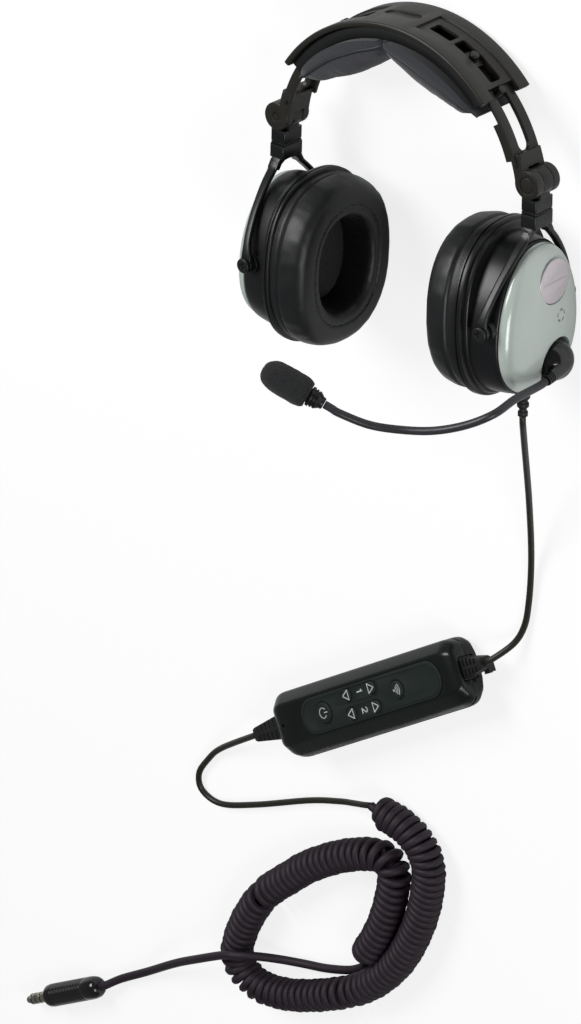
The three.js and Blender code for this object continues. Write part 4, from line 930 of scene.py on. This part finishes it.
def housing(outline, soft):
    """A section carried along the case, drawn in and rounded at both ends."""
    outline = rounded(outline, soft, 4)
    turns = [radians(a) for a in (0, 12, 24, 36, 48, 60, 70, 80, 90)]
    stations = [(MODULE_END - DRAWN_L + DRAWN_L * sin(a), DRAWN * (1 - cos(a))) for a in turns]
    stations = [(-x, d) for x, d in stations[::-1]] + stations
    rings = []
    for x, drawn in stations:
        rings.append([
            Vector((x, p.x * (1 - drawn / MODULE_SIDE), SPLIT + (p.y - SPLIT) * (1 - drawn / 14)))
            for p in outline
        ])
    return loft(rings)


def wells():
    shapes = [(s, rounded(rect(-w, -5.9, w, 5.9), 1.8)) for s, w in ((1, 7.1), (-1, 8.7))]
    return [slab([(y, z + PORT_Z) for y, z in shape], s * 79, s * 89, (2, 0, 1)) for s, shape in shapes]


top = housing(
    [(-21.8, SPLIT + 0.3), (19, SPLIT + 0.3), (19, 18.05), (12, 24), (-12, 24), (-19, 18.05)], 1.6
)
cuts = [slab([(p.x + KEYPAD_AT, p.y) for p in stadium(KEYPAD_L + 0.6, KEYPAD_W + 0.6, 20)], 22.5, 29)]
cuts += [moved(rod(r + 0.6, 14, 26, 40), shift(KEYPAD_AT + x, y, 0)) for _, x, y, r in KEYS]
cuts += [slab(rect(-74, -13, 74, 13), 9, 21.6), moved(rod(1.1, 22, 26, 20), shift(-74.5, 0, 0)), *wells()]
case = piece(
    "module_upper_case", merged(top, cuts), MODULE, case_plastic, "left_cup", "module_top_case", edge=0.25,
    sharp=38
)

bottom = housing(
    [
        (-BELLY, 0), (BELLY, 0), (16, RISE), (19, RISE + 4), (19, SPLIT), (-21.8, SPLIT), (-21.4, RISE + 5),
        (-16, RISE)
    ],
    1.4
)
DOOR_X = MODULE_END - 11 - 52.0
door_cut = slab(rect(DOOR_X - 52.3, -8.1, DOOR_X + 52.3, 8.1), -3, 4.0)
room = slab(rect(-74, -15, 74, 15), 4.6, 15)
case = piece(
    "module_lower_case", merged(bottom, [door_cut, room, *wells()]), MODULE, case_plastic, "left_cup",
    "module_bottom_case", edge=0.25, sharp=38
)

# The battery door lifts straight out; thumb ribs at one end give it grip.
door = slab(rounded(rect(DOOR_X - 52, -7.8, DOOR_X + 52, 7.8), 1.2), 0.2, 3.7)
grips = [slab(rect(x - 0.5, -5, x + 0.5, 5), -1, 0.7) for x in (DOOR_X - 46 + 2.4 * k for k in range(7))]
piece(
    "module_battery_door", merged(door, grips), MODULE, case_plastic, "battery_door_body", "battery_door",
    edge=0.2
)

# -------------------- keypad
# A soft silicone pad, slightly proud of the case, with a fine raised line round its edge. Each
# volume pair stands in its own raised loop, with plain triangles and numbers printed in white.
silicone = moulded("dark grey-green silicone", "#171f1d", "#202a28", 0.6, 900.0, 0.0001, IOR=1.41)
pad = slab(stadium(KEYPAD_L, KEYPAD_W, 24), 22.8, 24.4)
holes = [moved(rod(r + 0.3, 20, 27, 40), shift(KEYPAD_AT + x, y, 0)) for _, x, y, r in KEYS]


def loop(length, width, thick, x, y, low, high):
    outer = slab([(p.x + x, p.y + y) for p in stadium(length, width, 16)], low, high)
    hole = stadium(length - 2 * thick, width - 2 * thick, 16)
    inner = slab([(p.x + x, p.y + y) for p in hole], low - 1, high + 1)
    return merged(outer, [inner])


PAIR_X = KEYPAD_AT - 7.75  # the middle of each volume pair
pad = moved(pad, shift(KEYPAD_AT, 0, 0))
raised = [loop(KEYPAD_L - 3.0, KEYPAD_W - 3.0, 0.5, KEYPAD_AT, 0, 24.2, 24.75)]
raised += [loop(34.5, 9.6, 0.5, PAIR_X, y, 24.2, 24.7) for y in (5.6, -5.6)]
for x, r in ((-43, 6.4), (25, 5.4)):
    raised.append(loop(2 * r + 2.2, 2 * r + 2.2, 0.5, KEYPAD_AT + x, 0, 24.2, 24.7))
membrane = merged(merged(pad, raised, "UNION"), holes)
membrane = piece(
    "module_keypad", membrane, MODULE, silicone, "left_cup", "keypad_membrane", edge=0.12, sharp=40
)

ink = toned("white pad-printed ink", "#bfc2c0", "#e2e4e2", 0.6, "Noise", {"Scale": 900.0, "Detail": 3.0})[0]
TOP = 25.6


def arc(radius, start, stop, steps=20, x=0.0):
    turns = [radians(start + (stop - start) * i / steps) for i in range(steps + 1)]
    return [(x + radius * cos(a), radius * sin(a)) for a in turns]


def together(*parts):
    out = bmesh.new()
    for part in parts:
        mesh = bpy.data.meshes.new("part")
        part.to_mesh(mesh)
        part.free()
        out.from_mesh(mesh)
        bpy.data.meshes.remove(mesh)
    return out


def stroke(points, width, low, high):
    """A printed line through (x, y) points."""
    points = [Vector(p) for p in points]
    parts = []
    for a, b in zip(points, points[1:]):
        along = (b - a).normalized() * width / 2
        side = Vector((-along.y, along.x))
        a, b = a - along * 0.6, b + along * 0.6
        parts.append(slab([a - side, b - side, b + side, a + side], low, high))
    return together(*parts)


# the icons are upright when the module is held with its cup end up, so "up" is +X
WAVES = [(0.5, 0, 360, 8), (2.0, -45, 45, 8), (3.4, -45, 45, 10), (4.8, -40, 40, 10)]
DOWN = [[(-2.9, 0), (2.0, 2.9), (2.0, -2.9), (-2.9, 0)]]
UP = [[(2.9, 0), (-2.0, 2.9), (-2.0, -2.9), (2.9, 0)]]
MARKS = {
    "key_power": [arc(3.0, 40, 320), [(1.2, 0), (3.9, 0)]],
    "key_1_down": DOWN, "key_1_up": UP, "key_2_down": DOWN, "key_2_up": UP,
    "key_wireless": [arc(r, start, stop, steps, -1.8) for r, start, stop, steps in WAVES],
}
for name, x, y, r in KEYS:
    at = MODULE @ shift(KEYPAD_AT + x, y, 0)
    button = spun(
        [
            (0, 21.8), (r, 21.8), (r, TOP - 0.7), (r - 0.2, TOP - 0.3), (r - 0.7, TOP - 0.03),
            (r * 0.55, TOP - 0.12), (0, TOP - 0.18)
        ],
        48
    )
    key = piece(f"button_{name[4:]}", button, at, silicone, f"{name}_body", name, sharp=50)
    lines = [stroke(points, 0.55, TOP - 0.3, TOP + 0.02) for points in MARKS[name]]
    piece(f"mark_{name[4:]}", together(*lines), at, ink, f"{name}_body", sharp=60)

ONE = [(1.5, 1.0), (2.4, 0.0), (-2.2, 0.0)]
TWO = [(1.5, 1.4), (2.3, 0.7), (2.3, -0.6), (1.5, -1.3), (0.6, -1.0), (-2.1, 1.4), (-2.1, -1.5)]
digits = [moved(stroke(p, 0.7, 24.3, 24.5), shift(PAIR_X, y, 0)) for p, y in ((ONE, 5.6), (TWO, -5.6))]
numbers = together(*digits)
piece("keypad_numbers", numbers, MODULE, ink, "left_cup", sharp=60)

# -------------------- module strain reliefs
# Flat tapered sleeves of the same rubber, one at each end, with a spine down the middle and a
# ladder of slots that lets them bend. The one toward the curls is the longer and wider.


def ladder(length, root, tip, thick, slots):
    stations = [(0, root + 0.6), (4.2, root + 0.6), (4.6, root), (length - 1.2, tip), (length, tip - 0.5)]
    rings = []
    for z, wide in stations:
        flat = thick + (4.6 - thick) * z / length
        rings.append([Vector((p.x, p.y, z)) for p in rounded(rect(-flat, -wide, flat, wide), 1.6, 4)])
    cuts = []
    pitch = (length - 8) / slots
    for k in range(slots):
        z = 6 + k * pitch
        wide = root + (tip - root) * z / length
        depth = thick + (4.6 - thick) * z / length - 0.9
        for s, t in ((1, 1), (1, -1), (-1, 1), (-1, -1)):
            rung = rect(t * 0.9, z, t * (wide + 2), z + pitch * 0.42)
            cuts.append(slab(rung, s * depth, s * 9, (2, 0, 1)))
    return merged(loft(rings), cuts)


RELIEFS = {"module_relief_in": (1, 20, 6.2, 3.6, 5.0, 4), "module_relief_out": (-1, 32, 7.8, 4.4, 5.4, 6)}
for name, (s, *shape) in RELIEFS.items():
    at = MODULE @ shift(s * 79.5, 0, PORT_Z) @ turn("Y", 90 * s)
    piece(f"{name}_sleeve", ladder(*shape), at, rubber, "left_cup", name, edge=0.12, sharp=40)

# -------------------- plug
# A four-contact plug: a gloss moulded handle with fine finger rings and a nickel-plated pin
# whose contacts are parted by three black insulating rings.
pointing = Vector((-0.911, -0.4115, 0)).to_track_quat("Z", "Y").to_matrix().to_4x4()
PLUG = shift(-0.3425, -0.4903, 0.0074) @ pointing @ Matrix.Scale(0.001, 4)
handle = [(0, 0), (3.4, 0), (4.6, 0.5), (5.8, 1.6), (6.7, 3.4), (7.15, 6.0), (7.3, 9.0)]
for k in range(11):
    z = 13.0 + 3.0 * k
    handle += [(7.3, z), (6.9, z + 0.3), (6.9, z + 1.1), (7.3, z + 1.4)]
handle += [(7.3, 48.5), (7.1, 50.1), (6.4, 51), (0, 51)]
grip = piece("plug_grip", spun(handle, 64), PLUG, gloss, "left_cup", "plug_handle", edge=0.08, sharp=30)
nickel = moulded("nickel-plated brass", "#b9b2a4", "#d2ccc0", 0.18, 800.0, 0.00002)
nickel.node_tree.nodes["Principled BSDF"].inputs["Metallic"].default_value = 1.0
# The rings part the contacts at these shares of the pin's length.
PIN_FOOT, PIN_SPAN, PARTED = 51.3, 23, (0.3, 0.5, 0.68)
insulator = moulded("black insulating ring", "#0c0c0c", "#141414", 0.35, 900.0, 0.00002)
pin = [(0, PIN_FOOT), (3.55, PIN_FOOT)]
for f in PARTED:
    z = PIN_FOOT + f * PIN_SPAN
    pin += [(3.55, z), (3.45, z + 0.1), (3.45, z + 1.1), (3.55, z + 1.2)]
pin += [
    (3.52, 69.3), (2.9, 70.2), (2.2, 70.9), (2.5, 72.0), (2.3, 73.2), (1.5, 74.0), (0.6, 74.3), (0, 74.3)
]
tip = piece("plug_contacts", spun(pin, 48), PLUG, nickel, "left_cup", "plug_pin", edge=0.04, sharp=30)
bands = [spun(rect(3.3, z, 3.53, z + 1.0), 48) for z in (PIN_FOOT + 0.1 + f * PIN_SPAN for f in PARTED)]
rings = piece("plug_insulators", together(*bands), PLUG, insulator, "left_cup", sharp=40)

# -------------------- head pad
# Two stuffed lobes of navy-grey spacer mesh over foam, with a lighter gusset along the frame
# and a black piped seam between them; a pinched fold crosses between the lobes at the crown.
mesh_cloth, tree, shader, _, cells = toned(
    "navy-grey spacer mesh", "#3d3e46", "#17181c", 0.88, "Voronoi", {"Scale": 1.0, "Randomness": 0.0},
    weave="weave", settings={"voronoi_dimensions": "2D"}, Sheen_Weight=0.3, Sheen_Roughness=0.5,
)
lift(tree, shader, cells, 0.7, 0.0004)
gusset_cloth, tree, shader, _, ribs = toned(
    "grey knitted gusset", "#232428", "#3a3b41", 0.92, "Wave", {"Scale": 0.5, "Distortion": 0.3},
    weave="weave", settings={"bands_direction": "X"}, Sheen_Weight=0.3, Sheen_Roughness=0.5,
)
lift(tree, shader, ribs, 0.4, 0.0003)

PAD_TOP, PAD_REACH = SOLE_R - FRAME_T - 0.3, 53.6
WELT = 0.34  # depth of the seam between gusset and face, as a share of the pad's height


def pad_size(a):
    t = min(1.0, abs(a) / PAD_REACH)
    lobe = sin(pi * min(1.0, t * 1.06)) ** 0.8
    thick = (9 + 10 * lobe) * min(1.0, (1 - t) * 7 + 0.3)
    width = 44 * (0.8 + 0.2 * sqrt(lobe)) * min(1.0, 0.9 + (1 - t) * 0.7)
    return thick, width


def pad_point(a, w, h):
    """A point of the pad: w across from -1 to 1, h down from the frame from 0 to 1."""
    thick, width = pad_size(a)
    return polar(PAD_TOP - h * thick, a, w * width / 2)


def stuffed(a, w, h):
    """The same point as the stuffing and the folds push it out."""
    p = pad_point(a, w, h)
    puff = noise.noise(Vector((a * 0.11, w * 2.2, h * 2.0))) * 0.9 * h
    pinch = exp(-((a / 2.2) ** 2)) * 2.2 * h
    fold = pinch + sum(exp(-(((a - f) / 1.3) ** 2)) * 0.5 * abs(w) * h for f in (-47, -31, 33, 44))
    return p + Vector((p.x, p.y, 0)).normalized() * (fold + puff)


across = [
    (-1.0, 0.0), (-1.02, 0.1), (-1.03, 0.2), (-1.02, 0.29), (-0.985, WELT), (-1.0, 0.4), (-0.985, 0.5),
    (-0.94, 0.62), (-0.86, 0.74)
]
across += [(-0.74, 0.85), (-0.58, 0.93), (-0.38, 0.98), (-0.13, 1.0)]
across += [(-w, h) for w, h in across[::-1]]
bm = bmesh.new()
layer = bm.loops.layers.uv.new("weave")
rows = []
SPAN = 150
for i in range(SPAN + 1):
    a = -PAD_REACH + 2 * PAD_REACH * i / SPAN
    rows.append([bm.verts.new(stuffed(a, w, h)) for w, h in across])
for i in range(SPAN):
    for j in range(len(across) - 1):
        face = bm.faces.new((rows[i][j], rows[i + 1][j], rows[i + 1][j + 1], rows[i][j + 1]))
        side_face = j < 4 or j >= len(across) - 5
        face.material_index = 1 if side_face else 0
        for loop_, (u, v) in zip(face.loops, ((i, j), (i + 1, j), (i + 1, j + 1), (i, j + 1))):
            # one cell of the mesh every 1.3 mm
            loop_[layer].uv = (u * 0.96 / 1.3, v * 3.4 / 1.3)
    bm.faces.new((rows[i][-1], rows[i + 1][-1], rows[i + 1][0], rows[i][0])).material_index = 1
for row in (rows[0][::-1], rows[-1]):
    bm.faces.new(row).material_index = 1
pad = piece("head_pad_lobes", bm, HEAD, [mesh_cloth, gusset_cloth], "headband", "head_pad", sharp=70)

# The piping is a cord, 1.9 mm thick, sewn in bias tape, all the way round each edge of the face.
edges = []
for s in (1, -1):
    line = [stuffed(-PAD_REACH + 2 * PAD_REACH * i / SPAN, s * 1.0, WELT) for i in range(SPAN + 1)]
    tube = []
    for i, p in enumerate(line):
        out = Vector((0, 0, 1))
        tube.append(circle(p, out, heading(line, i).cross(out).normalized(), 0.95, 10))
    edges.append(loft(tube))
piece("head_pad_piping", together(*edges), HEAD, thread, "headband", sharp=60)

# -------------------- inside the cups
# Behind each ear seal: a thin black acoustic foam, the moulded baffle plate with its sound holes
# and a dynamic speaker with a paper cone. They stay as modelled and take their own finishes.
acoustic = windscreen_foam.copy()
acoustic.name = "black acoustic foam"
acoustic.node_tree.nodes["Principled BSDF"].inputs["Roughness"].default_value = 1.0
for ramp in (n for n in acoustic.node_tree.nodes if n.bl_idname == "ShaderNodeMix"):
    ramp.inputs[6].default_value = linear("#08080a")
    ramp.inputs[7].default_value = linear("#141416")
fibres = {"Scale": 700.0, "Detail": 6.0, "Roughness": 0.7}
paper_cone = toned("pressed paper cone", "#121110", "#2b2927", 0.8, "Noise", fibres)[0]

# -------------------- inside the module
# Two AA cells end to end, each in a printed shrink sleeve, and a glass-fibre board with a green
# solder mask. They stay as modelled and take their own finishes.
patches = {"Scale": 80.0, "Detail": 2.0}
sleeve_print = toned(
    "printed shrink sleeve", "#27405a", "#3a5874", 0.3, "Noise", patches, Coat_Weight=0.4
)[0]
tracks = {"distance": "MANHATTAN"}
mask = toned(
    "green solder mask", "#1d5e36", "#113d22", 0.35, "Voronoi", {"Scale": 350.0}, settings=tracks
)[0]

FINISHES = {"battery_a": sleeve_print, "battery_b": sleeve_print, "module_board": mask}
for side in SIDES:
    FINISHES |= {
        f"{side}_baffle_plate": frame_nylon, f"{side}_speaker": paper_cone,
        f"{side}_acoustic_screen": acoustic
    }
for name, finish in FINISHES.items():
    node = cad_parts[name]
    node.data.materials.clear()
    node.data.materials.append(finish)

# -------------------- cords
# Round PVC-jacketed cords, olive black and 3.8 mm thick from the cup to the module and on to
# the curls; the curls and their tail are a softer purple-black polyurethane, 5.3 mm thick.
# Each lies on the table under its own weight, and the tail passes over the loop in a low hump.


def cord_curve(name, line, diameter, material, sides=3):
    curve = bpy.data.curves.new(name, "CURVE")
    curve.dimensions = "3D"
    curve.bevel_depth = diameter / 2
    curve.bevel_resolution = sides
    curve.use_fill_caps = True
    curve.twist_mode = "MINIMUM"
    spline = curve.splines.new("POLY")
    spline.points.add(len(line) - 1)
    for point, place in zip(spline.points, line):
        point.co = (*place, 1)
    spline.use_smooth = True
    curve.materials.append(material)
    cord = bpy.data.objects.new(name, curve)
    scene.collection.objects.link(cord)
    return cord


LEAD, CURL = 0.0038, 0.0053

# Extruded PVC: even, faintly mottled, with a soft highlight from the calendered jacket.
pvc, tree, shader, _, mottle = toned(
    "extruded olive-black PVC", "#191a12", "#25261b", 0.42, "Noise", {"Scale": 240.0, "Detail": 3.0},
    IOR=1.53
)
lift(tree, shader, mottle, 0.12, 0.0002)

# Soft polyurethane with a dry, faintly violet bloom in random patches over the curls.
urethane, tree, shader, place, _ = toned(
    "matt purple-black polyurethane", "#1a1018", "#2c1f2d", 0.6, "Noise",
    {"Scale": 90.0, "Detail": 4.0, "Roughness": 0.6}, IOR=1.5,
)
dust = add(tree, "ShaderNodeTexNoise", {"Scale": 1400.0, "Detail": 2.0}, {"Vector": place})
lift(tree, shader, dust.outputs[0], 0.2, 0.0002)

cup_line = through(
    [
        (0.11679, 0.04216, 0.05323), (0.11653, 0.03841, 0.05378), (0.1067, 0.0173, 0.044),
        (0.0959, -0.0051, 0.033), (0.0827, -0.0349, 0.020), (0.07, -0.0691, 0.009),
        (0.0623, -0.0928, 0.004), (0.0563, -0.1146, 0.0027), (0.0502, -0.1325, 0.0027),
        (0.0429, -0.1445, 0.006), (0.03075, -0.15419, 0.01399), (0.02738, -0.15595, 0.01399),
    ],
    0.002,
)
cup_cord = cord_curve("cord_cup_to_module", cup_line, LEAD, pvc)
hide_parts("cup_lead")
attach(cup_cord, "left_cup")

coil_line = through(
    [
        (-0.16031, -0.25365, 0.01399), (-0.16368, -0.25541, 0.01399),
        (-0.2027, -0.2798, 0.005), (-0.2179, -0.293, 0.0027), (-0.2277, -0.3057, 0.0027),
        (-0.2273, -0.3174, 0.0027), (-0.2134, -0.3231, 0.0027), (-0.1842, -0.3157, 0.0027),
        (-0.1398, -0.3005, 0.0027), (-0.1148, -0.294, 0.0032), (-0.101, -0.2903, 0.0055),
        (-0.0905, -0.2868, 0.0085), (-0.0845, -0.285, 0.0095),
    ],
    0.002,
)
coil_cord = cord_curve("cord_module_to_curls", coil_line, LEAD, pvc)
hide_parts("coil_lead")
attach(coil_cord, "left_cup")

# The curls lie nearly shut on the inside of each bend and fan out on its outside.
CURLS, CURL_OUTSIDE = 101, 0.0205
TURN_STEPS = 24  # points of the wire in one curl
curl_centre = [
    (-0.078, -0.2875), (-0.0727, -0.2878), (-0.0637, -0.2905), (-0.0555, -0.295), (-0.0491, -0.3019),
    (-0.046, -0.3106), (-0.046, -0.3205), (-0.0488, -0.3326), (-0.0537, -0.3461), (-0.0597, -0.3592),
    (-0.0673, -0.3728), (-0.0766, -0.3865), (-0.0872, -0.399), (-0.1002, -0.4109), (-0.1151, -0.4214),
    (-0.1312, -0.4297), (-0.146, -0.4356), (-0.1608, -0.4406), (-0.1754, -0.4447), (-0.1886, -0.4461),
    (-0.2004, -0.4449), (-0.2088, -0.4398), (-0.214, -0.4332), (-0.2144, -0.4243), (-0.2102, -0.414),
    (-0.2045, -0.4033), (-0.1982, -0.3934), (-0.1902, -0.383), (-0.1804, -0.3725), (-0.1694, -0.3633),
    (-0.1579, -0.3547), (-0.1448, -0.3451), (-0.1316, -0.337), (-0.1187, -0.3302), (-0.1052, -0.3246),
    (-0.0929, -0.3204), (-0.0825, -0.3187), (-0.0757, -0.3215), (-0.0736, -0.3289), (-0.0763, -0.3396),
    (-0.0806, -0.3513), (-0.0863, -0.3635), (-0.0932, -0.3755), (-0.1011, -0.3872), (-0.1093, -0.3973),
]


def curls(centre, count, wire, outside):
    """The wire's line: wound round the centre line, with each curl's inside the same distance on."""
    radius = (outside - wire) / 2
    line = through([(*p, outside / 2 + 0.0001) for p in centre], 0.0004)
    inside = [0.0]
    for i in range(1, len(line)):
        a = line[i] - line[i - 1]
        # the curls are pulled apart in two places and lie closer at the start
        share = i / len(line)
        pulled = 0.6 * exp(-(((share - 0.34) / 0.02) ** 2)) + 1.2 * exp(-(((share - 0.63) / 0.012) ** 2))
        apart = 1 + pulled - 0.22 * exp(-((share / 0.22) ** 2))
        inside.append(inside[-1] + a.length / apart)
    wound = []
    steps = count * TURN_STEPS
    k = 0
    for i in range(steps + 1):
        wanted = inside[-1] * i / steps
        while k < len(line) - 2 and inside[k + 1] < wanted:
            k += 1
        share = min(1.0, (wanted - inside[k]) / (inside[k + 1] - inside[k]))
        place = line[k].lerp(line[k + 1], share)
        along = heading(line, k, 12)
        across = along.cross(Vector((0, 0, 1))).normalized()
        above = across.cross(along).normalized()
        a = tau * i / TURN_STEPS
        # no two curls are quite alike
        loose = 1 + 0.02 * sin(i / TURN_STEPS * 2.3) + 0.012 * sin(i / TURN_STEPS * 7.1)
        grow = min(1.0, i / 18, (steps - i) / 18) * radius * loose
        wound.append(place + across * (grow * sin(a)) - above * (grow * cos(a)))
    return wound


wound = curls(curl_centre, CURLS, CURL, CURL_OUTSIDE)
curl_start = through([(-0.0842, -0.2849, 0.0095), wound[0]], 0.002)[:-1]
tail_line = through(
    [
        wound[-1], (-0.1115, -0.403, 0.0085), (-0.115, -0.4085, 0.0036), (-0.1205, -0.4128, 0.0028),
        (-0.131, -0.4178, 0.0028), (-0.1493, -0.422, 0.0028), (-0.1661, -0.4229, 0.0042),
        (-0.1802, -0.4212, 0.009),
        (-0.1914, -0.4178, 0.0168), (-0.2006, -0.4164, 0.0228), (-0.212, -0.4185, 0.0244),
        (-0.2402, -0.4328, 0.019),
        (-0.2679, -0.4484, 0.0118), (-0.3017, -0.4687, 0.0052), (-0.3256, -0.4813, 0.0045),
        (-0.33758, -0.48808, 0.0072), (-0.34223, -0.49018, 0.0074),
    ],
    0.002,
)[1:]
curly_line = curl_start + wound + tail_line
curly = cord_curve("curly_cord_and_tail", curly_line, CURL, urethane, sides=2)
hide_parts("curly_cord", "plug_lead")
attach(curly, "left_cup")
